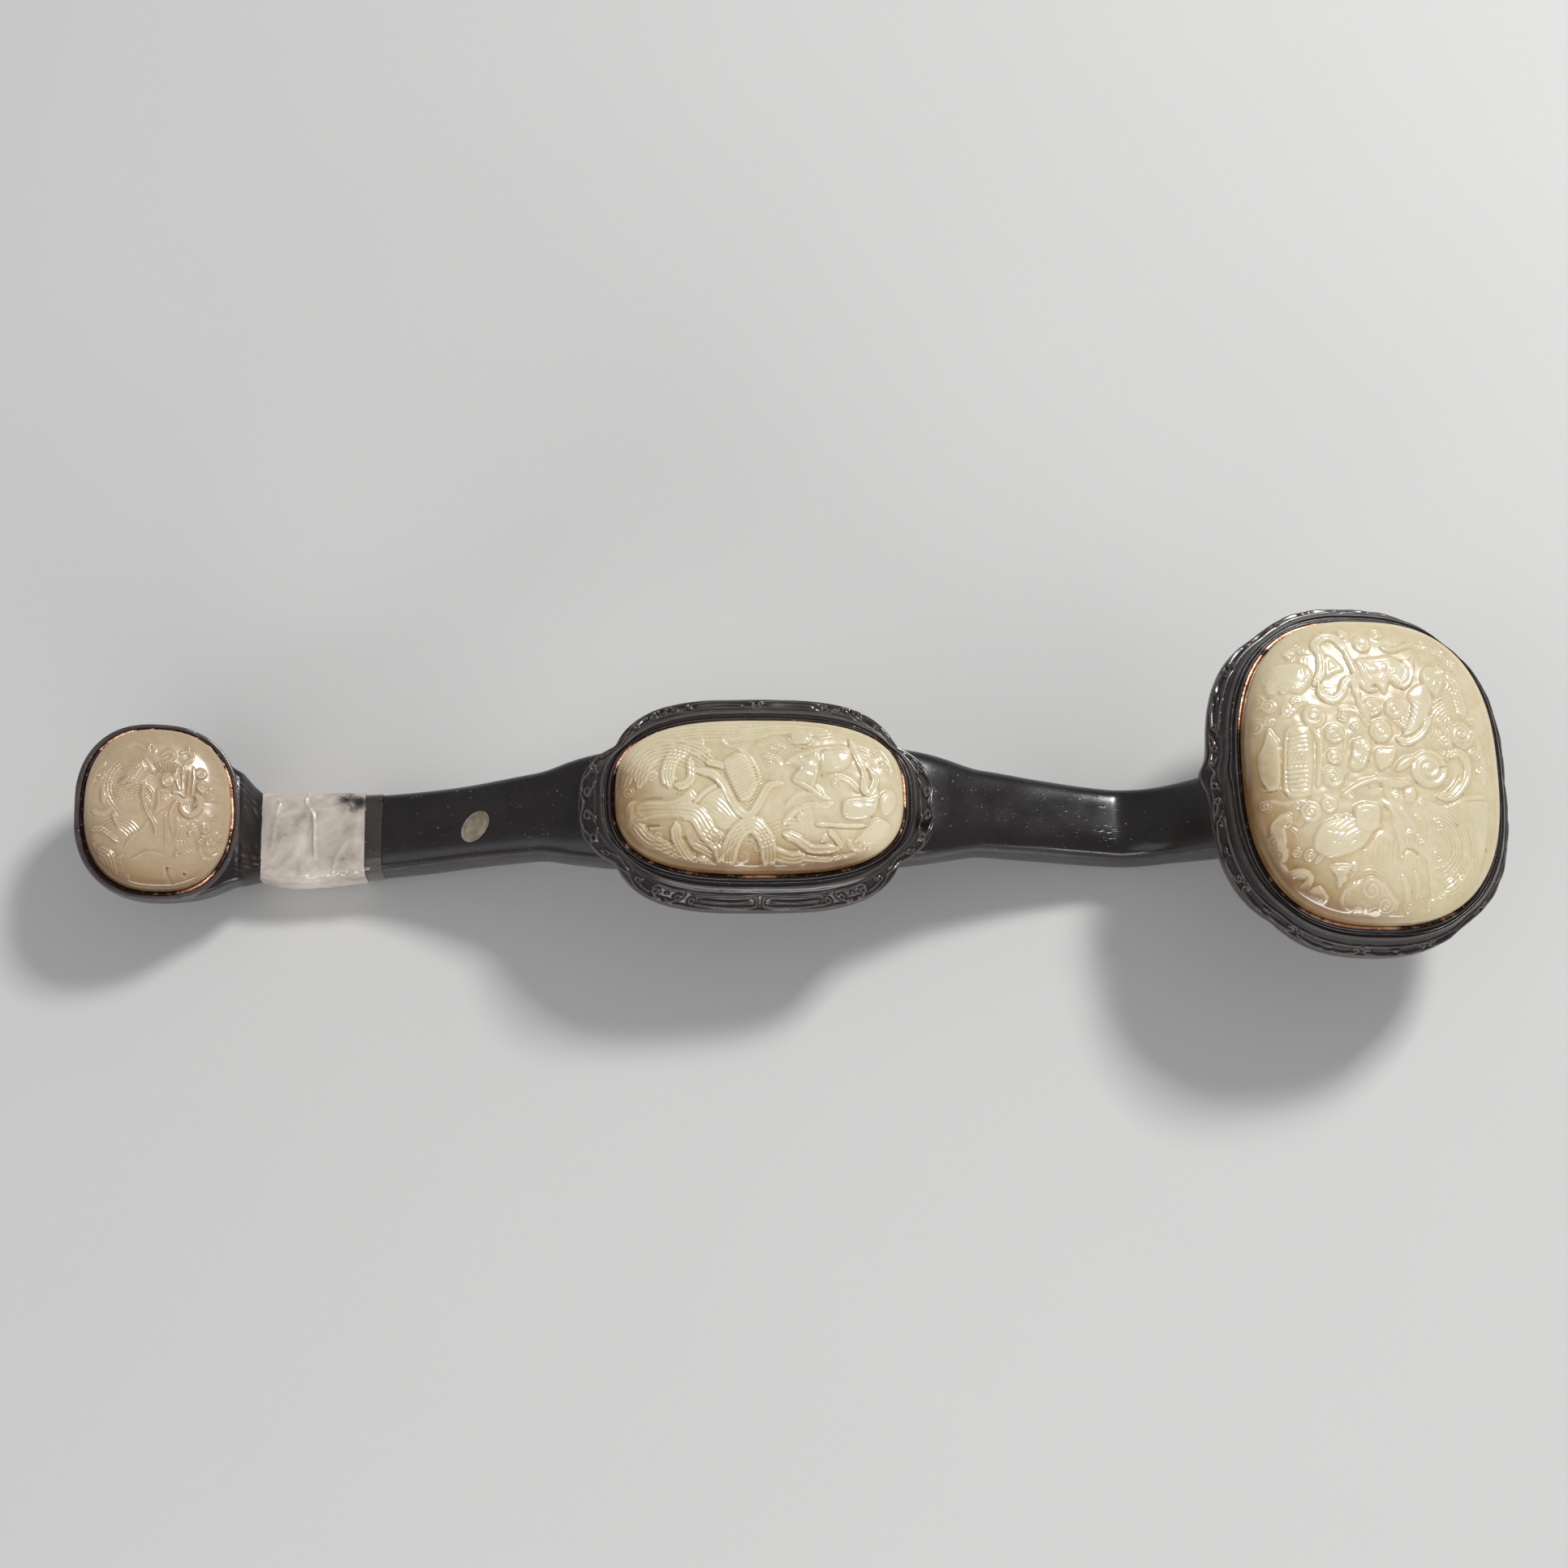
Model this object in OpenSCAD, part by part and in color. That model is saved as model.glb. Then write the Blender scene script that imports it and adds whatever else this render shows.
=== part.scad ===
// Three-plaque scepter: an arched hardwood shaft that carries three domed jade plaques.
// X runs from the tail to the head, Y lies across and Z points up. The scepter rests on its
// back, on a flat land near the tail and another under the bend before the head.

/* [Head plaque] */
// Place of the head plaque along the shaft
head_x = 193.5; // [188:0.5:202]
// Height of the head plaque's seat above the table
head_z = 66; // [62:1:70]
// Lean of the head plaque away from the shaft, in degrees
head_tilt = 9.4; // [7:0.1:12]
// Length of the head plaque along the shaft
head_l = 88.6; // [82:0.1:92]
// Width of the head plaque across the shaft
head_w = 104.6; // [96:0.1:112]
// Height of the head plaque's dome above its seat
head_dome = 13; // [8:0.5:16]
// Squareness of the head plaque's outline: 2 is an ellipse
head_square = 2.6; // [2.2:0.1:3.2]

/* [Middle plaque] */
// Place of the middle plaque along the shaft
mid_x = -10.5; // [-15:0.5:-5]
// Height of the middle plaque's seat above the table
mid_z = 58.5; // [55:0.5:62]
// Lean of the middle plaque towards the head, in degrees
mid_tilt = 3.7; // [1:0.1:6]
// Length of the middle plaque along the shaft
mid_l = 97; // [90:0.5:100]
// Width of the middle plaque across the shaft
mid_w = 52.5; // [48:0.5:56]
// Height of the middle plaque's dome above its seat
mid_dome = 11; // [7:0.5:14]
// Squareness of the middle plaque's outline: 2 is an ellipse
mid_square = 2.8; // [2.4:0.1:3.4]

/* [Tail plaque] */
// Place of the tail plaque along the shaft
tail_x = -216.5; // [-222:0.5:-211]
// Height of the tail plaque's seat above the table
tail_z = 35.5; // [33:0.5:38]
// Lean of the tail plaque towards the head, in degrees
tail_tilt = 15.5; // [12:0.5:18]
// Length of the tail plaque along the shaft
tail_l = 49.4; // [46:0.1:52]
// Width of the tail plaque across the shaft
tail_w = 56.6; // [52:0.1:60]
// Height of the tail plaque's dome above its seat
tail_dome = 9; // [6:0.5:12]
// Squareness of the tail plaque's outline: 2 is an ellipse
tail_square = 2.4; // [2.2:0.1:3]

/* [Plaque relief] */
// Height of the highest carved forms above the ground round them
relief_h = 1.2; // [0.6:0.1:1.4]
// Depth of the carved ground below the plaque's plain dome
relief_ground = 0.35; // [0.1:0.05:0.5]

/* [Plaque seats] */
// Depth of each plaque below the rim of its seat
plaque_sink = 3.4; // [2.6:0.1:4]
// Thickness of the putty bed under each plaque
bed_t = 1; // [0.6:0.1:1.4]
// Width of the copper fillet round each plaque
fillet_w = 1; // [0.6:0.1:1.4]
// Height of the copper fillet
fillet_h = 2.4; // [1.6:0.1:2.6]
// Gap between a plaque and its copper fillet
fillet_gap = 0.15; // [0.1:0.05:0.3]
// Height of the copper fillet's upper edge above the rim of the seat
fillet_rise = 0.2; // [0:0.1:0.4]

/* [Mounts] */
// Width of the carved border round the head plaque
head_border = 8.6; // [7:0.1:10]
// Drop of the head border from the seat to its outer edge
head_drop = 10; // [8:0.5:12]
// Depth of the head mount from the seat to its back
head_depth = 25; // [22:0.5:28]
// Reach of the cusp that points down the shaft beyond the head border
head_cusp = 3; // [1:0.5:5]
// Width of the carved border round the middle plaque
mid_border = 11; // [9:0.5:13]
// Drop of the middle border from the seat to its outer edge
mid_drop = 9; // [7:0.5:11]
// Depth of the middle mount from the seat to its back
mid_depth = 26; // [24:0.5:29]
// Half width of the end lobes of the middle mount
end_lobe = 25.5; // [23:0.5:27]
// Width of the plain rim round the tail plaque
tail_rim = 1.8; // [1.4:0.1:3]
// Thickness of each mount's outer edge
edge_t = 1.6; // [1:0.1:2.4]

/* [Shaft] */
// Width of the shaft between the mounts
shaft_w = 27; // [24:0.5:30]
// Thickness of the shaft, square to its face
shaft_t = 20; // [18:0.5:22]
// Width of the shaft where it meets the middle mount
flare_w = 34; // [31:0.5:36]
// Height of the shaft's face at the grip by the tail
grip_h = 18.8; // [17:0.1:20]
// Slope of the shaft below the middle mount on the tail side, in degrees
left_slope = 20.5; // [17:0.5:24]
// Slope of the shaft below the middle mount on the head side, in degrees
right_slope = 23.5; // [20:0.5:27]
// Drop from the middle plaque's seat to the shaft's face on the tail side
left_drop = 16.4; // [15:0.1:18]
// Drop from the middle plaque's seat to the shaft's face on the head side
right_drop = 12.4; // [11.6:0.1:14]
// Place of the bend before the head
bend_x = 113; // [108:1:117]
// Height of the shaft's face at the bend
bend_h = 21.4; // [20:0.2:23]
// Slope of the neck below the head, in degrees
neck_slope = 46; // [40:1:50]
// Depth of the flat lands that the scepter rests on
land_cut = 0.5; // [0.4:0.1:0.8]

/* [Hand-carved bow] */
// Sideways offset of the tail cup from the head's middle line
tail_side = 2.3; // [0:0.1:4]
// Sideways offset of the taped grip
grip_side = -2.6; // [-4:0.1:0]
// Sideways offset of the shaft on both sides of the middle mount
shaft_side = -1.4; // [-3:0.1:0]
// Sideways offset of the middle plaque
mid_side = -3; // [-4:0.1:0]
// Sideways offset of the neck below the head
neck_side = -4.6; // [-6:0.1:0]

/* [Joints] */
// Distance of the shaft's joints from the ends of the middle plaque
joint_reach = 16.5; // [15:0.5:18]
// Length of each tenon
tenon_l = 13; // [10:0.5:15]
// Width of each tenon
tenon_w = 12; // [9:0.5:14]
// Thickness of each tenon
tenon_t = 7; // [5:0.5:8]
// Glue gap round a tenon
tenon_gap = 0.15; // [0.1:0.05:0.3]
// Place of the old break near the tail
break_x = -173.5; // [-176:0.5:-171]
// Diameter of the repair dowel across the break
dowel_d = 6; // [4:0.5:8]
// Length of the repair dowel
dowel_l = 26; // [20:1:30]
// Glue gap round the repair dowel
dowel_gap = 0.1; // [0.05:0.05:0.2]

/* [Tape and label] */
// Width of the outer lap of tape
tape_w = 37; // [32:1:40]
// Place of the outer lap's tail edge, beyond the break
tape_start = 11; // [9:0.5:13]
// Length of the clear inner lap that shows beyond the outer one
tape_step = 6; // [4:0.5:8]
// Thickness of the crumpled outer lap
tape_t = 0.7; // [0.5:0.1:1]
// Thickness of the inner lap
lap_t = 0.4; // [0.3:0.1:0.6]
// Long diameter of the oval label
label_l = 11.8; // [10:0.2:14]
// Short diameter of the oval label
label_w = 8.4; // [7:0.2:10]
// Thickness of the oval label
label_t = 0.5; // [0.4:0.1:0.8]
// Turn of the label's long axis from the shaft, in degrees
label_turn = 50; // [0:5:90]
// Place of the label along the shaft
label_x = -108; // [-120:1:-95]
// Sideways offset of the label from the shaft's middle line
label_side = -2.8; // [-6:0.2:2]

/* [Hidden] */
wood = "#2b1d1a";
jade = "#d8d9b4";
warm_jade = "#d3bf95";
copper = "#b5714a";
putty = "#8a6a48";
fine = 96; // points round a plaque or a mount
round_fn = 32; // points round the shaft
face_square = 5; // the shaft's face is nearly flat
back_square = 3.4; // the shaft's back is rounder
seat_gap = 0.1; // gap between a fillet and the wood
seat_depth = plaque_sink + bed_t;
wrap_t = lap_t + tape_t;

// The joints, and the shaft's face and back lines as stations of place, height and slope
left_x = mid_x - mid_l / 2 - joint_reach;
right_x = mid_x + mid_l / 2 + joint_reach;
left_face = mid_z + (mid_x - left_x) * tan(mid_tilt) - left_drop;
right_face = mid_z + (mid_x - right_x) * tan(mid_tilt) - right_drop;
neck_gap = 3; // from the head plaque's end to the neck's joint
neck_x = head_x - head_l / 2 - neck_gap;
bend_run = 10; // length of the round turn at the bend
bend_rise = 2; // rise of the face over that turn
heel_run = 4; // from the bend to the middle of its flat land
heel_end = 18; // from the bend to where the back climbs at the neck's slope
heel_lift = 4.8; // height of the back there
neck_ease = 0.84; // share of the neck's full slope that its face climbs
neck_run = neck_x - bend_x - bend_run;
neck_face = bend_h + bend_rise + neck_run * tan(neck_slope) * neck_ease;
root_reach = 16; // from the shaft's end inside the head mount to the head's middle
root_cover = 6; // wood of the mount behind the shaft's end
root_x = head_x - root_reach;
root_face = neck_face + (root_x - neck_x) * tan(neck_slope) / 5;
root_back = head_z - head_depth + root_cover;
core_drop = 11; // from the middle plaque's seat to the shaft's face under it
grip_end = break_x + 10;
tape_a = break_x - tape_start;
tape_b = tape_a + tape_w;
flat_end = tape_b + tape_step + 1; // the flat land of the grip ends past the tape
face_line = [
    [tail_x, grip_h, 0],
    [grip_end, grip_h, 0],
    [left_x, left_face, tan(left_slope)],
    [mid_x, mid_z - core_drop, -tan(mid_tilt)],
    [right_x, right_face, -tan(right_slope)],
    [bend_x, bend_h, -tan(right_slope / 2)],
    [bend_x + bend_run, bend_h + bend_rise, tan(neck_slope / 2)],
    [neck_x, neck_face, tan(neck_slope)],
    [root_x, root_face, 0]
];
back_line = [
    [tail_x, wrap_t - land_cut, 0],
    [flat_end, wrap_t - land_cut, 0],
    [left_x, left_face - shaft_t / cos(left_slope), tan(left_slope)],
    [mid_x, mid_z - mid_depth, -tan(mid_tilt)],
    [right_x, right_face - shaft_t / cos(right_slope), -tan(right_slope)],
    [bend_x + heel_run, -land_cut, 0],
    [bend_x + heel_end, heel_lift, tan(neck_slope * 0.75)],
    [neck_x, neck_face - shaft_t / cos(neck_slope), tan(neck_slope)],
    [root_x, root_back, tan(neck_slope / 3)]
];
swell = 2; // widening of the shaft at the grip and just before its flares
flare_run = 12; // length of each flare into the middle mount
waist_run = 40; // from that mount's joint to the shaft's narrowest place
root_swell = 12; // widening of the shaft's end inside the head mount
width_line = [
    [tail_x, shaft_w, 0],
    [break_x, shaft_w + swell, 0],
    [left_x - waist_run, shaft_w, 0],
    [left_x - flare_run, shaft_w + swell, 0.1],
    [left_x, flare_w, 0.5],
    [mid_x, flare_w + 8, 0],
    [right_x, flare_w, -0.5],
    [right_x + flare_run, shaft_w + swell, -0.1],
    [bend_x, shaft_w - 1.4, 0],
    [neck_x, shaft_w + 1, 0.3],
    [root_x, shaft_w + root_swell, 0.3]
];
side_line = [
    [tail_x, tail_side, 0],
    [break_x, grip_side, 0],
    [left_x, shaft_side, 0],
    [mid_x, mid_side, 0],
    [right_x, shaft_side, 0],
    [neck_x, neck_side, 0],
    [root_x, neck_side / 2, 0]
];

// Smooth value between stations of place, value and slope
function station(line, x, i = 0) = i >= len(line) - 2 || x < line[i + 1][0] ? i : station(line, x, i + 1);
function along(line, x) =
    let (i = station(line, x), a = line[i], b = line[i + 1], h = b[0] - a[0], t = (x - a[0]) / h)
    a[1] * (1 + 2 * t) * (1 - t) * (1 - t) + a[2] * h * t * (1 - t) * (1 - t)
    + b[1] * t * t * (3 - 2 * t) + b[2] * h * t * t * (t - 1);

// Signed power, for outlines between an ellipse and a rectangle
function power(v, p) = sign(v) * pow(abs(v), p);
// Distance from the middle to a squared ellipse in direction t
function reach(a, b, p, t) = pow(pow(abs(cos(t)) / a, p) + pow(abs(sin(t)) / b, p), -1 / p);
// Directions that space points evenly round a long outline
function turns(a, b) = [for (i = [0 : fine - 1]) let (t = 360 * i / fine) atan2(b * sin(t), a * cos(t))];
function outline(l, w, p, grow = 0) = [
    for (t = turns(l / 2, w / 2)) let (r = reach(l / 2 + grow, w / 2 + grow, p, t)) [r * cos(t), r * sin(t)]
];

// Closed solid through a list of rings with equal numbers of points
module skin(rings) {
    n = len(rings[0]);
    m = len(rings);
    first = [for (k = [0 : 2]) sum_of(rings[0], k) / n];
    last = [for (k = [0 : 2]) sum_of(rings[m - 1], k) / n];
    points = concat([for (r = rings) each r], [first, last]);
    sides = [for (j = [0 : m - 2], i = [0 : n - 1]) let (a = j * n + i, b = j * n + (i + 1) % n)
        each [[a, b, b + n], [a, b + n, a + n]]];
    caps = [for (i = [0 : n - 1]) let (k = (i + 1) % n, e = (m - 1) * n)
        each [[k, i, m * n], [e + i, e + k, m * n + 1]]];
    polyhedron(points, [for (f = concat(sides, caps)) [f[0], f[2], f[1]]]);
}
function sum_of(ring, k, i = 0) = i >= len(ring) ? 0 : ring[i][k] + sum_of(ring, k, i + 1);

// The grip rests on its tape, the bend on the wood itself
function floor_at(x) = x < left_x ? wrap_t : 0;
// One section of the shaft at place x, larger all round by grow and wider by spread
function section(x, grow = 0, spread = 0) =
    let (
        half = along(width_line, x) / 2 + grow + spread,
        side = along(side_line, x),
        top = along(face_line, x) + grow,
        low = along(back_line, x) - grow,
        middle = (top + low) / 2,
        rise = (top - low) / 2,
        bottom = floor_at(x) - grow
    )
    [for (i = [0 : round_fn - 1])
        let (t = 360 * i / round_fn, p = sin(t) > 0 ? face_square : back_square)
        [x, side + half * power(cos(t), 2 / p), max(bottom, middle + rise * power(sin(t), 2 / p))]
    ];
module shaft_between(from, to, steps) {
    skin([for (i = [0 : steps]) section(from + (to - from) * i / steps)]);
}
// Places a child on a plaque's seat, with Z square to the plaque
module on_seat(x, side, z, tilt) {
    translate([x, side, z])
        rotate([0, tilt, 0])
            children();
}
module on_head() {
    on_seat(head_x, 0, head_z, head_tilt)
        children();
}
module on_mid() {
    on_seat(mid_x, mid_side, mid_z, mid_tilt)
        children();
}
module on_tail() {
    on_seat(tail_x, tail_side, tail_z, tail_tilt)
        children();
}

// Main carved forms of each plaque, as shares of its half length, half width and relief:
// place along and across, reach along and across, height
head_relief = [
    [0.09, 0.59, 0.27, 0.15, 0.85], // crowned cluster
    [-0.33, 0.75, 0.17, 0.11, 0.75], // arch of ribbon
    [-0.33, 0.5, 0.18, 0.09, 0.8], // loop of ribbon
    [0.03, 0.31, 0.19, 0.14, 0.8], // three curls
    [-0.66, 0, 0.14, 0.26, 0.65], // banner
    [-0.86, 0.02, 0.11, 0.23, 0.75], // plain leaf
    [-0.7, 0.54, 0.2, 0.14, 0.7], // upper cloud
    [-0.37, 0.04, 0.1, 0.24, 0.65], // chain of curls
    [0.29, 0.34, 0.16, 0.2, 0.55], // smooth leaf
    [0.46, 0.55, 0.14, 0.14, 0.7], // side leaf
    [0.37, -0.03, 0.18, 0.16, 0.85], // large whorl
    [-0.32, -0.48, 0.3, 0.16, 0.65], // bulge
    [-0.16, -0.37, 0.13, 0.12, 1.2], // disc
    [-0.77, -0.57, 0.16, 0.24, 0.85], // lower cloud
    [-0.57, -0.86, 0.13, 0.08, 0.8], // tail of the cloud
    [-0.14, -0.86, 0.25, 0.14, 0.7], // bottom rings
    [0.27, -0.5, 0.42, 0.4, 0.38], // hills
    [0.57, -0.6, 0.16, 0.28, 0.55] // waves
];
mid_relief = [
    [-0.68, 0.54, 0.28, 0.28, 0.5], // long strands
    [-0.56, 0.3, 0.11, 0.3, 0.75], // bundle
    [-0.7, -0.23, 0.28, 0.26, 0.5], // hump
    [-0.15, 0.22, 0.13, 0.36, 1], // fan of strands
    [-0.03, -0.22, 0.2, 0.12, 0.85], // band
    [0.29, 0.3, 0.16, 0.28, 0.65], // broad leaf
    [0.29, 0.73, 0.11, 0.13, 0.6], // ribbed leaf
    [0.52, 0.42, 0.12, 0.2, 0.85], // bordered patch
    [0.7, 0.36, 0.07, 0.32, 0.9], // curved band
    [0.68, -0.19, 0.15, 0.22, 0.9], // petal
    [0.79, -0.54, 0.14, 0.2, 0.8], // pleated petal
    [0.88, -0.1, 0.08, 0.2, 0.6], // end leaf
    [-0.84, -0.56, 0.14, 0.34, 0.6], // outer strands
    [-0.52, -0.6, 0.16, 0.34, 0.8], // curled strands
    [-0.1, -0.68, 0.19, 0.3, 0.95], // arch
    [0.3, -0.74, 0.22, 0.18, 0.8], // low leaves
    [0.62, -0.84, 0.16, 0.1, 0.65] // low band
];
tail_relief = [
    [-0.3, 0.2, 0.42, 0.42, 0.4], // leaf with scales
    [0.12, 0.35, 0.17, 0.2, 0.75], // ringed boss
    [0.02, 0.1, 0.2, 0.18, 0.6], // folds
    [0.4, 0.1, 0.2, 0.45, 0.6], // hooked bars
    [0.72, -0.4, 0.2, 0.25, 0.4], // beads
    [-0.72, -0.15, 0.16, 0.4, 0.45] // side leaves
];
// Height of a form at u, v: full over its middle and falling to nothing at its reach
function form(f, u, v) = f[4] * (1 - pow(min(1, norm([(u - f[0]) / f[2], (v - f[1]) / f[3]]) / 1.15), 4));
// The carving fades out before the polished rim, where share is near 1
function carving(forms, u, v, share) =
    let (fade = min(1, max(0, (0.97 - share) / 0.07)))
    fade * (relief_h * max([for (f = forms) form(f, u, v), 0]) - relief_ground);

// A domed plaque: a straight wall in the seat, then a round shoulder and a low carved crown
dome_steps = 14;
wall = 0.16; // share of the dome's height that stands straight
function dome_at(share) = wall + (1 - wall) * pow(sin(acos(pow(share, 1 / 0.55))), 0.8);
module plaque(l, w, p, dome, forms) {
    shape = outline(l, w, p);
    skin(concat(
        [[for (v = shape) [v[0], v[1], -plaque_sink]]],
        [for (i = [0 : dome_steps])
            let (share = max(0.02, 1 - pow(i / dome_steps, 1.35)), h = dome * dome_at(share))
            [for (v = shape)
                let (c = share * v[0], d = share * v[1])
                [c, d, h + carving(forms, c * 2 / l, d * 2 / w, share)]]
        ]
    ));
}
// The strip of copper that fills the gap between a plaque and its seat
module fillet(l, w, p) {
    translate([0, 0, fillet_rise - fillet_h])
        linear_extrude(fillet_h)
            difference() {
                polygon(outline(l, w, p, fillet_gap + fillet_w));
                polygon(outline(l, w, p, fillet_gap));
            }
}
// The putty that the plaque is set in
module bed(l, w, p) {
    translate([0, 0, -seat_depth])
        linear_extrude(bed_t)
            polygon(outline(l, w, p));
}
clear_cut = 30; // how far a seat's cut runs out above the mount
// The recess that takes bed, plaque and fillet
module seat(l, w, p) {
    translate([0, 0, -seat_depth])
        linear_extrude(seat_depth + clear_cut)
            polygon(outline(l, w, p));
    translate([0, 0, fillet_rise - fillet_h])
        linear_extrude(fillet_h + clear_cut)
            polygon(outline(l, w, p, fillet_gap + fillet_w + seat_gap));
}

tenon_root = 2; // how far a tenon runs back into its own piece
// A tenon or its mortise, from place x on the shaft, turned to the shaft's slope
module tenon(x, slope, way, gap) {
    z = (along(face_line, x) + along(back_line, x)) / 2;
    translate([x, along(side_line, x), z])
        rotate([0, -slope, 0])
            translate([way > 0 ? -tenon_root : -tenon_l - gap, -tenon_w / 2 - gap, -tenon_t / 2 - gap])
                cube([tenon_l + tenon_root + gap, tenon_w + 2 * gap, tenon_t + 2 * gap]);
}

rim_width = 1.2; // wood between a fillet and the carved border
lip = fillet_w + rim_width;
// Rings of a mount that spreads from a plaque's edge to a lobed outline and closes under it.
// Each step gives the share of the border, the scale of the ring and the drop from the seat.
function mount_rings(inner, outer, angles, steps) = [
    for (j = [len(steps) - 1 : -1 : 0]) let (s = steps[j]) [for (i = [0 : fine - 1])
        let (r = (inner[i] * (1 - s[0]) + outer[i] * s[0]) * s[1])
        [r * cos(angles[i]), r * sin(angles[i]), -s[2]]
    ]
];
function border_steps(drop) = [
    [0, 1, 0],
    [0.1, 1, 0.2],
    [0.16, 1, 1.1],
    [0.28, 1, drop * 0.2],
    [0.48, 1, drop * 0.3],
    [0.56, 1, drop * 0.42],
    [0.9, 1, drop * 0.88],
    [1, 1, drop]
];

// The hole for the dowel that holds the old break together
module dowel_hole() {
    dowel_at(dowel_d + 2 * dowel_gap, dowel_l + 2 * dowel_gap);
}
module dowel_at(d, h) {
    translate([break_x - h / 2, grip_side, (wrap_t + grip_h) / 2])
        rotate([0, 90, 0])
            cylinder(d = d, h = h, $fn = 48);
}

module tail_section() {
    color(wood)
        difference() {
            skin(tail_rings());
            on_tail()
                seat(tail_l, tail_w, tail_square);
            dowel_hole();
        }
}
// The tail cup and its neck in one run of sections: the cup's outline gives the width
cup_steps = 20;
neck_steps = 7;
cup_l = tail_l / 2 + fillet_w + tail_rim + 0.4;
cup_w = tail_w / 2 + fillet_w + tail_rim;
cup_wall = 11; // depth of the cup at its rim
cup_belly = 10; // further depth below its middle
function cup_half(u) = cup_w * pow(max(0, 1 - pow(min(1, abs(u) / cup_l), tail_square)), 1 / tail_square);
function cup_section(x, side, top, low, half) =
    let (middle = top - 6, rise = 6, fall = middle - low)
    [for (i = [0 : round_fn - 1])
        let (t = 360 * i / round_fn, up = sin(t) > 0)
        [x, side + half * power(cos(t), up ? 0.25 : 0.8),
            middle + (up ? rise * power(sin(t), 0.25) : fall * power(sin(t), 0.9))]
    ];
function tail_rings() = [
    for (i = [0 : cup_steps])
        let (
            u = -cup_l * 0.995 * cos(180 * i / cup_steps),
            neck = max(0, min(1, u / cup_l)),
            x = tail_x + u * cos(tail_tilt),
            top = tail_z - u * sin(tail_tilt),
            belly = cup_belly * pow(cup_half(u) / cup_w, 1.5),
            low = top - cup_wall - belly,
            half = max(cup_half(u), u > 0 ? shaft_w / 2 + cup_flare * (1 - neck) : 1.2),
            ease = neck * neck * (3 - 2 * neck)
        )
        cup_section(x, along(side_line, x), top, max(wrap_t, low * (1 - ease) + wrap_t * ease), half),
    for (i = [1 : neck_steps])
        let (t = i / neck_steps, x = neck_start + (break_x - neck_start) * t)
        section(x, 0, cup_flare * pow(max(0, 1 - t * 2), 2))
];

cup_flare = 4.4; // spread of the neck where it meets the cup
neck_start = tail_x + cup_l + 1;

module left_shaft() {
    color(wood)
        difference() {
            union() {
                shaft_between(break_x, left_x, 14);
                tenon(left_x, left_slope, 1, 0);
            }
            dowel_hole();
        }
}

module right_shaft() {
    color(wood)
        union() {
            shaft_between(right_x, neck_x, 22);
            tenon(right_x, -right_slope, -1, 0);
            tenon(neck_x, neck_slope, 1, 0);
        }
}

mid_turns = turns(mid_l / 2 + mid_border, mid_w / 2 + mid_border);
mid_inner = [for (t = mid_turns) reach(mid_l / 2 + lip, mid_w / 2 + lip, mid_square, t)];
mid_outer = [for (t = mid_turns) max(
    reach(mid_l / 2 + 2, mid_w / 2 + mid_border, 3.2, t),
    reach(mid_l / 2 + mid_border + 1, end_lobe, 3, t)
)];
module mid_mount() {
    under = [
        [1, 1, mid_drop + edge_t],
        [1, 0.93, mid_drop + edge_t + 1.4],
        [1, 0.86, mid_drop + edge_t + 4.5],
        [1, 0.72, mid_depth - 5],
        [1, 0.5, mid_depth - 1]
    ];
    steps = concat(border_steps(mid_drop), under);
    color(wood)
        difference() {
            union() {
                on_mid()
                    skin(mount_rings(mid_inner, mid_outer, mid_turns, steps));
                shaft_between(left_x, right_x, 16);
            }
            on_mid()
                seat(mid_l, mid_w, mid_square);
            tenon(left_x, left_slope, 1, tenon_gap);
            tenon(right_x, -right_slope, -1, tenon_gap);
        }
}

head_turns = turns(head_l / 2 + head_border, head_w / 2 + head_border);
head_inner = [for (t = head_turns) reach(head_l / 2 + lip, head_w / 2 + lip, head_square, t)];
head_outer = [for (t = head_turns) max(
    reach(head_l / 2 + head_border - 5, head_w / 2 + head_border, 2.5, t),
    reach(head_l / 2 + head_border, head_w / 2 + head_border - 6, 2.9, t)
) + head_cusp * exp(-pow((180 - abs(t)) / 5, 2))];
module head_mount() {
    under = [
        [1, 1, head_drop + edge_t],
        [1, 0.97, head_drop + edge_t + 1.2],
        [1, 0.9, head_drop + edge_t + 4],
        [1, 0.74, head_depth - 5],
        [1, 0.5, head_depth - 1.4],
        [1, 0.2, head_depth]
    ];
    steps = concat(border_steps(head_drop), under);
    color(wood)
        difference() {
            union() {
                on_head()
                    skin(mount_rings(head_inner, head_outer, head_turns, steps));
                shaft_between(neck_x, root_x, 8);
            }
            on_head()
                seat(head_l, head_w, head_square);
            tenon(neck_x, neck_slope, 1, tenon_gap);
        }
}

module tail_plaque() {
    color(warm_jade)
        on_tail()
            plaque(tail_l, tail_w, tail_square, tail_dome, tail_relief);
}
module mid_plaque() {
    color(jade)
        on_mid()
            plaque(mid_l, mid_w, mid_square, mid_dome, mid_relief);
}
module head_plaque() {
    color(jade)
        on_head()
            plaque(head_l, head_w, head_square, head_dome, head_relief);
}

module tail_fillet() {
    color(copper)
        on_tail()
            fillet(tail_l, tail_w, tail_square);
}
module mid_fillet() {
    color(copper)
        on_mid()
            fillet(mid_l, mid_w, mid_square);
}
module head_fillet() {
    color(copper)
        on_head()
            fillet(head_l, head_w, head_square);
}

module tail_bed() {
    color(putty)
        on_tail()
            bed(tail_l, tail_w, tail_square);
}
module mid_bed() {
    color(putty)
        on_mid()
            bed(mid_l, mid_w, mid_square);
}
module head_bed() {
    color(putty)
        on_head()
            bed(head_l, head_w, head_square);
}

module repair_dowel() {
    color("#c9a878")
        dowel_at(dowel_d, dowel_l);
}

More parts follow.
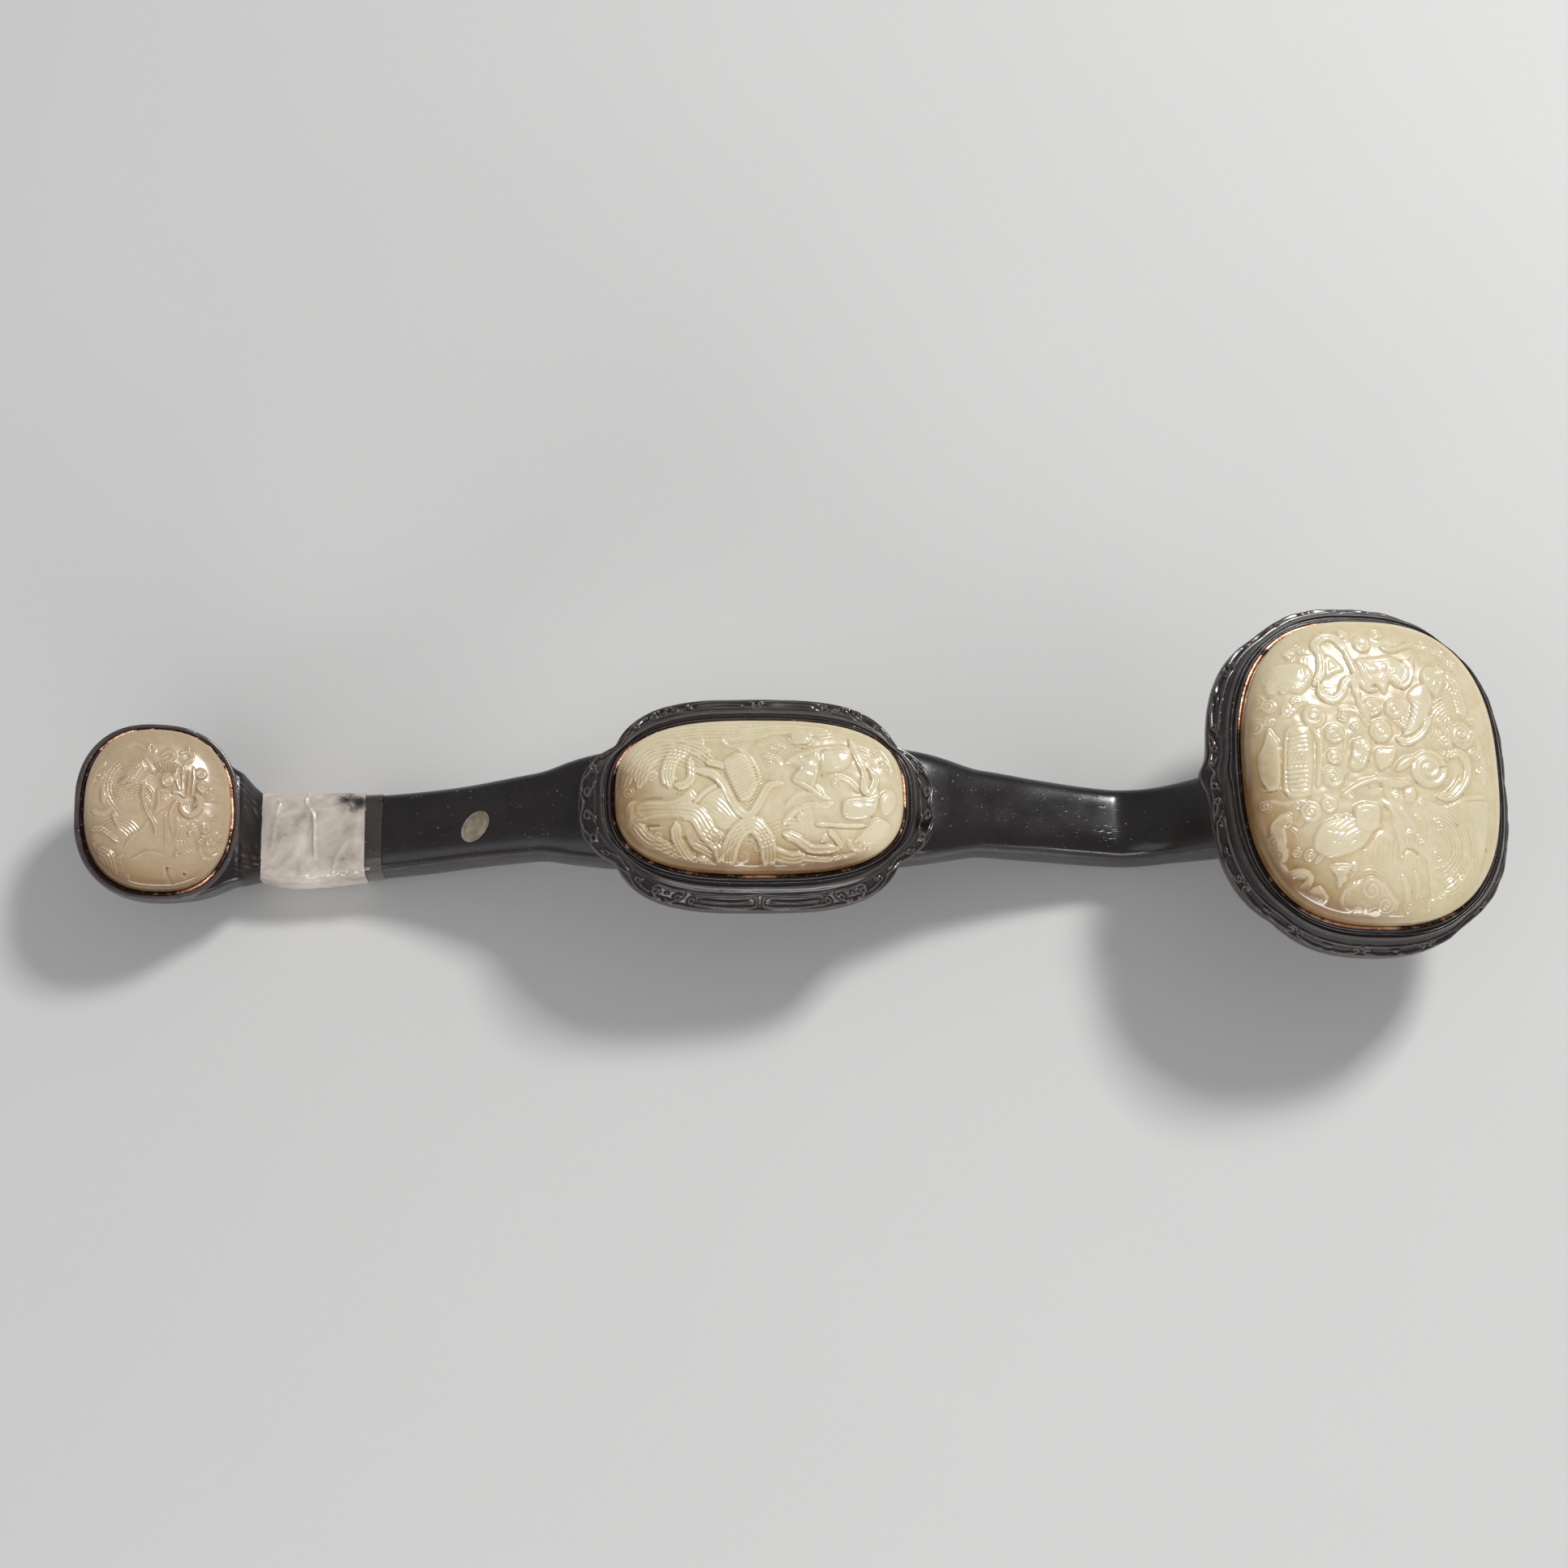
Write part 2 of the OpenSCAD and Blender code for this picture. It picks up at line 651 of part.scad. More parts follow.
// A closed sleeve round the shaft, from place a to place b, between two thicknesses
module sleeve(a, b, inside, outside, steps) {
    n = round_fn;
    rings = concat(
        [for (i = [0 : steps]) section(a + (b - a) * i / steps, outside)],
        [for (i = [steps : -1 : 0]) section(a + (b - a) * i / steps, inside)]
    );
    m = len(rings);
    faces = [for (j = [0 : m - 1], i = [0 : n - 1])
        let (k = (i + 1) % n, p = j * n, q = ((j + 1) % m) * n)
        each [[p + i, q + k, p + k], [p + i, q + i, q + k]]];
    polyhedron([for (r = rings) each r], faces);
}
module tape_inner_lap() {
    color("#6d5c4e")
        sleeve(tape_a + 1, tape_b + tape_step, 0, lap_t, 10);
}
module tape_outer_lap() {
    color("#cfc6b8")
        sleeve(tape_a, tape_b, lap_t, wrap_t, 8);
}
module oval_label() {
    rise = along(face_line, label_x + 1) - along(face_line, label_x - 1);
    color("#a89c86")
        translate([label_x, along(side_line, label_x) + label_side, along(face_line, label_x)])
            rotate([0, -atan(rise / 2), 0])
                rotate([0, 0, label_turn])
                    scale([label_l / label_w, 1, 1])
                        cylinder(d = label_w, h = label_t, $fn = 48);
}

tail_section();
left_shaft();
mid_mount();
right_shaft();
head_mount();
tail_plaque();
mid_plaque();
head_plaque();
tail_fillet();
mid_fillet();
head_fillet();
tail_bed();
mid_bed();
head_bed();
repair_dowel();
tape_inner_lap();
tape_outer_lap();
oval_label();
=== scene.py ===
import math

import bpy
import numpy as np
from mathutils import Matrix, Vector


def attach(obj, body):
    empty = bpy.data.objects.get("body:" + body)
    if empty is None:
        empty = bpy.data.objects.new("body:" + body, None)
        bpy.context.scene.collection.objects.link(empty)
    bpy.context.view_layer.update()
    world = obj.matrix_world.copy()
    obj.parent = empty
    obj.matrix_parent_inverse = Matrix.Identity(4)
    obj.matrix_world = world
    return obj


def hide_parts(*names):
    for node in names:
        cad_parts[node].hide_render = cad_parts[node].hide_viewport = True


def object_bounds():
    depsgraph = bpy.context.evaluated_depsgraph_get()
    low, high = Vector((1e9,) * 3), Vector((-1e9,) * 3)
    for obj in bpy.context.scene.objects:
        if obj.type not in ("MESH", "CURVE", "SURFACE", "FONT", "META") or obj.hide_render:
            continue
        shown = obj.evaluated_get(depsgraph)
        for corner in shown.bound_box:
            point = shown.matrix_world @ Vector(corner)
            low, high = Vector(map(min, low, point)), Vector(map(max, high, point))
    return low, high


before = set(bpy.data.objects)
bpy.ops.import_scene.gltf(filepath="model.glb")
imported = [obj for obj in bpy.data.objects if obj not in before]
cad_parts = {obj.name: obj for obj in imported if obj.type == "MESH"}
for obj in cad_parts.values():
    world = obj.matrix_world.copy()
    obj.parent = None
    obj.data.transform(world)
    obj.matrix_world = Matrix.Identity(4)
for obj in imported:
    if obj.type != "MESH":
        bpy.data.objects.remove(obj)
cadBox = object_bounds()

mm = 0.001
full = 2 * math.pi
print("frame loaded:", len(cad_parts), "nodes")


# Tools for shaping a primitive's vertices in rows, sizes in millimetres
def clearSelection():
    if bpy.context.object and bpy.context.object.mode != "OBJECT":
        bpy.ops.object.mode_set(mode="OBJECT")
    bpy.ops.object.select_all(action="DESELECT")


def readPoints(piece):
    points = np.empty(len(piece.data.vertices) * 3)
    piece.data.vertices.foreach_get("co", points)
    return points.reshape(-1, 3)


def writePoints(piece, points):
    piece.data.vertices.foreach_set("co", (points * mm).ravel())
    piece.data.update()


def writeMask(piece, name, values):
    mask = piece.data.attributes.new(name, "FLOAT", "POINT")
    mask.data.foreach_set("value", np.asarray(values, dtype=np.float32).ravel())


def named(piece, name):
    piece.name = name
    piece.data.name = name
    return piece


def smooth(piece, angle=40):
    clearSelection()
    piece.select_set(True)
    bpy.context.view_layer.objects.active = piece
    bpy.ops.object.shade_smooth_by_angle(angle=math.radians(angle))


def shapeBall(name, rows, **masks):
    # rows: (rings, segments, 3); a grid is rolled up, its seam merged and its two ends drawn to poles
    rings, segments = rows.shape[:2]
    clearSelection()
    bpy.ops.mesh.primitive_grid_add(x_subdivisions=segments, y_subdivisions=rings - 1, size=2)
    piece = named(bpy.context.object, name)
    flat = readPoints(piece)
    turn = np.rint((flat[:, 0] + 1) / 2 * segments).astype(int) % segments
    ring = np.rint((1 - flat[:, 1]) / 2 * (rings - 1)).astype(int)
    pole = (ring == 0) | (ring == rings - 1)
    points = rows[ring, turn]
    points[pole] = rows[ring[pole]].mean(axis=1)
    writePoints(piece, points)
    for key, values in masks.items():
        writeMask(piece, key, values[ring, turn])
    bpy.ops.object.mode_set(mode="EDIT")
    bpy.ops.mesh.select_all(action="SELECT")
    bpy.ops.mesh.remove_doubles(threshold=1e-7)
    bpy.ops.mesh.normals_make_consistent(inside=False)
    bpy.ops.object.mode_set(mode="OBJECT")
    return piece


def shapeHoop(name, rows, **masks):
    # rows: (segments round the hoop, points round its section, 3)
    major, minor = rows.shape[:2]
    clearSelection()
    bpy.ops.mesh.primitive_torus_add(
        major_segments=major, minor_segments=minor, major_radius=1, minor_radius=0.5
    )
    piece = named(bpy.context.object, name)
    hoop = readPoints(piece)
    around = np.rint(np.arctan2(hoop[:, 1], hoop[:, 0]) / full * major).astype(int) % major
    away = np.hypot(hoop[:, 0], hoop[:, 1]) - 1
    across = np.rint(np.arctan2(hoop[:, 2], away) / full * minor).astype(int) % minor
    writePoints(piece, rows[around, across])
    for key, values in masks.items():
        writeMask(piece, key, values[around, across])
    return piece


def rowNormals(rows, wrapped=True):
    # outward normals of rows of points; the second direction closes on itself when wrapped
    down = np.gradient(rows, axis=0)
    if wrapped:
        across = (np.roll(rows, -1, axis=1) - np.roll(rows, 1, axis=1)) / 2
    else:
        across = np.gradient(rows, axis=1)
    normal = np.cross(down, across)
    size = np.linalg.norm(normal, axis=2, keepdims=True)
    return normal / np.maximum(size, 1e-9)


def blur(values, reach, axes=(0, 1), wrapped=()):
    # a moving average, run twice, along the given directions only
    for axis in axes + axes:
        pad = [(0, 0)] * values.ndim
        pad[axis] = (reach + 1, reach)
        mode = "wrap" if axis in wrapped else "edge"
        total = np.cumsum(np.pad(values, pad, mode=mode), axis=axis)
        count = values.shape[axis]
        high = np.take(total, np.arange(count) + 2 * reach + 1, axis=axis)
        low = np.take(total, np.arange(count), axis=axis)
        values = (high - low) / (2 * reach + 1)
    return values


def inBox(points):
    low, high = np.array(cadBox[0]) / mm + 0.02, np.array(cadBox[1]) / mm - 0.02
    return np.clip(points, low * (1, 1, 0), high)


def smoothStep(low, high, x):
    t = np.clip((x - low) / (high - low), 0, 1)
    return t * t * (3 - 2 * t)


# Tools for carving: every cutter returns heights over a flat sheet with coordinates u, v
def smoothPath(points, closed=False, steps=5):
    p = np.array(points, float)
    if closed:
        p = np.vstack([p[-1:], p, p[:2]])
    else:
        p = np.vstack([2 * p[0] - p[1], p, 2 * p[-1] - p[-2]])
    out = []
    for a, b, c, d in zip(p, p[1:], p[2:], p[3:]):
        for t in np.arange(steps) / steps:
            out.append(
                0.5 * (
                    2 * b + (c - a) * t + (2 * a - 5 * b + 4 * c - d) * t * t
                    + (3 * b - a - 3 * c + d) * t**3
                )
            )
    if not closed:
        out.append(p[-2])
    return np.array(out)


def nearPath(u, v, path):
    # distance to a path, which side, and how far along it the nearest point is
    best = np.full(u.shape, 1e9)
    side = np.zeros(u.shape)
    along = np.zeros(u.shape)
    run = 0.0
    for a, b in zip(path, path[1:]):
        d = b - a
        size = math.hypot(*d) or 1e-9
        t = np.clip(((u - a[0]) * d[0] + (v - a[1]) * d[1]) / size**2, 0, 1)
        gap = np.hypot(u - a[0] - t * d[0], v - a[1] - t * d[1])
        closer = gap < best
        best = np.where(closer, gap, best)
        side = np.where(closer, np.sign((u - a[0]) * d[1] - (v - a[1]) * d[0]), side)
        along = np.where(closer, run + t * size, along)
        run += size
    return best, side, along / max(run, 1e-9)


def insideOf(u, v, path):
    inside = np.zeros(u.shape, bool)
    for a, b in zip(path, np.roll(path, -1, axis=0)):
        if a[1] == b[1]:
            continue
        crosses = (a[1] > v) != (b[1] > v)
        inside ^= crosses & (u < (b[0] - a[0]) * (v - a[1]) / (b[1] - a[1]) + a[0])
    return inside


def cutLine(u, v, path, width, height):
    # a ridge, or a groove where the height is below zero, that runs out at both ends
    gap, side, along = nearPath(u, v, path)
    ends = np.clip(np.minimum(along, 1 - along) * 8 + 0.25, 0, 1)
    return height * ends * np.exp(-((gap / width) ** 2))


def cutRibbon(u, v, path, width, height, lines):
    # a raised band with lines that follow it
    gap, side, along = nearPath(u, v, path)
    taper = np.clip(np.minimum(along, 1 - along) * 6 + 0.45, 0, 1)
    half = width / 2 * taper
    edge = smoothStep(0, 0.45, half - gap)
    wave = np.cos(full * lines * (side * gap / width + 0.5)) * 0.16
    return edge * (height + wave * (lines > 0))


def cutStep(u, v, path, fall, height):
    # the ground rises to the path on one side and drops sharply on the other
    gap, side, along = nearPath(u, v, path)
    ends = np.clip(np.minimum(along, 1 - along) * 7, 0, 1)
    right = side > 0
    return ends * height * np.where(right, np.exp(-gap / fall), -0.9 * np.exp(-((gap / 0.8) ** 2)))


def cutCurl(u, v, x, y, r, height, hand=1, turn=0.0):
    # a cloud curl: a soft boss with a spiral of fine double lines
    gap = np.hypot(u - x, v - y)
    pitch = r / 2.4
    phase = gap / pitch - hand * (np.arctan2(v - y, u - x) - turn) / full
    boss = smoothStep(-0.1, 0.9, r - gap) * height * (0.72 + 0.2 * np.clip(1 - gap / r, 0, 1))
    line = 0.22 * np.cos(full * phase) + 0.07 * np.cos(2 * full * phase)
    return boss + line * smoothStep(0, 0.5, r - gap) * smoothStep(0, 0.7, gap)


def cutPad(u, v, path, soft, height, crown=0.0):
    # a raised field inside a closed path
    gap, side, along = nearPath(u, v, np.vstack([path, path[:1]]))
    inner = np.where(insideOf(u, v, path), gap, -gap)
    reach = max(inner.max(), 1e-6)
    body = smoothStep(-0.1, soft, inner) * (height + crown * np.clip(inner / reach, 0, 1) ** 0.6)
    # a fine line runs inside the edge, as on the carved stone
    return body - 0.13 * np.exp(-(((inner - soft - 0.35) / 0.3) ** 2)) * (reach > 2)


def cutHatch(u, v, x, y, rx, ry, turn, pitch, height, bend=0.0):
    # fine parallel strokes in an oval
    c, s = math.cos(math.radians(turn)), math.sin(math.radians(turn))
    a = (u - x) * c + (v - y) * s
    b = -(u - x) * s + (v - y) * c
    window = smoothStep(1, 0.7, np.hypot(a / rx, b / ry))
    return height * window * np.cos(full * (b + bend * a * a) / pitch)


def cutFan(u, v, x, y, r0, r1, low, high, strokes, height):
    # strokes that spread from a point
    gap = np.hypot(u - x, v - y)
    angle = np.degrees(np.arctan2(v - y, u - x))
    share = ((angle - low) % 360) / (high - low)
    window = smoothStep(r0, r0 + 0.8, gap) * smoothStep(r1, r1 - 0.8, gap)
    window = window * smoothStep(0, 0.06, share) * smoothStep(1, 0.94, share)
    return height * window * (0.6 + 0.4 * np.cos(full * strokes * share))


def cutRings(u, v, x, y, r0, r1, low, high, pitch, height):
    # fine strokes that run round a point, like hair or water
    gap = np.hypot(u - x, v - y)
    share = ((np.degrees(np.arctan2(v - y, u - x)) - low) % 360) / (high - low)
    window = smoothStep(r0, r0 + 1.2, gap) * smoothStep(r1, r1 - 1.2, gap)
    window = window * smoothStep(0, 0.15, share) * smoothStep(1, 0.85, share)
    return height * window * np.cos(full * gap / pitch + 0.8 * np.sin(share * 9))


cutters = {
    "line": (cutLine, True), "ribbon": (cutRibbon, True), "step": (cutStep, True),
    "pad": (cutPad, True), "curl": (cutCurl, False), "hatch": (cutHatch, False),
    "fan": (cutFan, False), "rings": (cutRings, False),
}
raisedForms = ("ribbon", "pad", "curl", "fan")


def carve(u, v, motifs, reach=5.0):
    # raised forms cover each other; lines, steps and strokes are cut into what is there
    height = np.zeros(u.shape)
    for kind, *values in motifs:
        cutter, hasPath = cutters[kind]
        if hasPath:
            path = smoothPath(values[0], closed=kind == "pad")
            values = [path] + values[1:]
            low, high = path.min(axis=0) - reach, path.max(axis=0) + reach
        else:
            size = max(values[2:4]) if kind == "hatch" else values[2] if kind == "curl" else values[3]
            low = np.array(values[:2]) - size - 1
            high = np.array(values[:2]) + size + 1
        near = (u > low[0]) & (u < high[0]) & (v > low[1]) & (v < high[1])
        if not near.any():
            continue
        cut = cutter(u[near], v[near], *values)
        height[near] = np.maximum(height[near], cut) if kind in raisedForms else height[near] + cut
    return height


# The scepter's own lines, as in the CAD source: stations of place, value and slope
headSeat = {"at": (193.5, 0.0, 66.0), "tilt": 9.4, "long": 88.6, "wide": 104.6, "dome": 13.0, "square": 2.6}
midSeat = {"at": (-10.5, -3.0, 58.5), "tilt": 3.7, "long": 97.0, "wide": 52.5, "dome": 11.0, "square": 2.8}
tailSeat = {"at": (-216.5, 2.3, 35.5), "tilt": 15.5, "long": 49.4, "wide": 56.6, "dome": 9.0, "square": 2.4}
seating = {"sink": 3.4, "gap": 0.15, "fillet": 1.0, "lip": 1.25}


def slope(degrees, share=1.0):
    return math.tan(math.radians(degrees * share))


leftX, rightX, breakX, neckX, rootX = -75.5, 54.5, -173.5, 146.2, 177.5
shaftSpec = {
    "thick": 20.0, "grip": 18.8, "left": 20.5, "right": 23.5, "neck": 46.0, "bendX": 113, "wrap": 1.1,
}
thick, grip, bendX = (shaftSpec[key] for key in ("thick", "grip", "bendX"))
left, right, neck = (shaftSpec[key] for key in ("left", "right", "neck"))
midLean = slope(midSeat["tilt"])
leftFace = 58.5 + (-10.5 - leftX) * midLean - 16.4
rightFace = 58.5 + (-10.5 - rightX) * midLean - 12.4
neckFace = 21.4 + 2 + (neckX - 123) * slope(neck) * 0.84
rootFace = neckFace + (rootX - neckX) * slope(neck) / 5
faceLine = [
    (-216.5, grip, 0), (-163.5, grip, 0), (leftX, leftFace, slope(left)), (-10.5, 47.5, -midLean),
    (rightX, rightFace, -slope(right)), (bendX, 21.4, -slope(right, 0.5)), (123, 23.4, slope(neck, 0.5)),
    (neckX, neckFace, slope(neck)), (rootX, rootFace, 0),
]
backLine = [
    (-216.5, 0.6, 0), (-140.5, 0.6, 0),
    (leftX, leftFace - thick / math.cos(math.radians(left)), slope(left)), (-10.5, 32.5, -midLean),
    (rightX, rightFace - thick / math.cos(math.radians(right)), -slope(right)),
    (117, -0.5, 0), (131, 4.8, slope(neck, 0.75)),
    (neckX, neckFace - thick / math.cos(math.radians(neck)), slope(neck)),
    (rootX, 47, slope(neck, 1 / 3)),
]
widthLine = [
    (-216.5, 27, 0), (-173.5, 29, 0), (-115.5, 27, 0), (-87.5, 29, 0.1), (leftX, 34, 0.5), (-10.5, 42, 0),
    (rightX, 34, -0.5), (66.5, 29, -0.1), (bendX, 25.6, 0), (neckX, 28, 0.3), (rootX, 39, 0.3),
]
sideLine = [
    (-216.5, 2.3, 0), (-173.5, -2.6, 0), (leftX, -1.4, 0), (-10.5, -3, 0), (rightX, -1.4, 0),
    (neckX, -4.6, 0), (rootX, -2.3, 0),
]


def follow(line, x):
    line = np.array(line, float)
    x = np.asarray(x, float)
    i = np.clip(np.searchsorted(line[:, 0], x, side="right") - 1, 0, len(line) - 2)
    a, b = line[i], line[i + 1]
    h = b[..., 0] - a[..., 0]
    t = (x - a[..., 0]) / h
    return (
        a[..., 1] * (1 + 2 * t) * (1 - t) ** 2 + a[..., 2] * h * t * (1 - t) ** 2
        + b[..., 1] * t * t * (3 - 2 * t) + b[..., 2] * h * t * t * (t - 1)
    )


def power(values, p):
    return np.sign(values) * np.abs(values) ** p


def shaftRows(x, turn, grow=0.0):
    # x: rows along the shaft, turn: angles round it
    x, turn = np.meshgrid(x, turn, indexing="ij")
    half = follow(widthLine, x) / 2 + grow
    top = follow(faceLine, x) + grow
    low = follow(backLine, x) - grow
    p = np.where(np.sin(turn) > 0, 5.0, 3.4)
    floor = np.where(x < leftX, shaftSpec["wrap"], 0) - grow
    z = np.maximum(floor, (top + low) / 2 + (top - low) / 2 * power(np.sin(turn), 2 / p))
    return np.stack([x, follow(sideLine, x) + half * power(np.cos(turn), 2 / p), z], axis=2)


def capped(rows, caps=3):
    # closes both ends of a run of sections with rings that shrink to a pole
    def cap(ring, shares):
        middle = ring.mean(axis=0)
        return np.array([middle + (ring - middle) * s for s in shares])

    shares = np.linspace(0, 1, caps + 1)[:-1]
    return np.concatenate([cap(rows[0], shares), rows, cap(rows[-1], shares[::-1])])


def onSeat(seat, u, v, h):
    lean = math.radians(seat["tilt"])
    return np.stack([
        seat["at"][0] + u * math.cos(lean) + h * math.sin(lean),
        seat["at"][1] + v,
        seat["at"][2] - u * math.sin(lean) + h * math.cos(lean),
    ], axis=-1)


def reachOf(seat, turn, grow=0.0):
    return squareReach(seat["long"] / 2 + grow, seat["wide"] / 2 + grow, seat["square"], turn)


def squareReach(a, b, p, turn):
    return (np.abs(np.cos(turn) / a) ** p + np.abs(np.sin(turn) / b) ** p) ** (-1 / p)


def ripple(a, b, scale, seed):
    # slow unevenness of handwork, made from a few waves
    rng = np.random.default_rng(seed)
    total = np.zeros(np.broadcast(a, b).shape)
    for i in range(7):
        fa, fb = rng.uniform(-1, 1, 2) * full / scale
        total = total + np.cos(a * fa + b * fb + rng.uniform(0, full)) / 7
    return total


# The camera stands where the photograph was taken: its axes in columns, its place in metres
cameraAxes = np.array([
    [0.99968, 0.01707, -0.01867],
    [-0.02138, 0.96446, -0.26336],
    [0.01351, 0.26368, 0.96452],
])
cameraSpec = {"place": (-0.019849, -0.249123, 0.977601), "lens": 65.07, "sensor": 36, "photo": 1932}

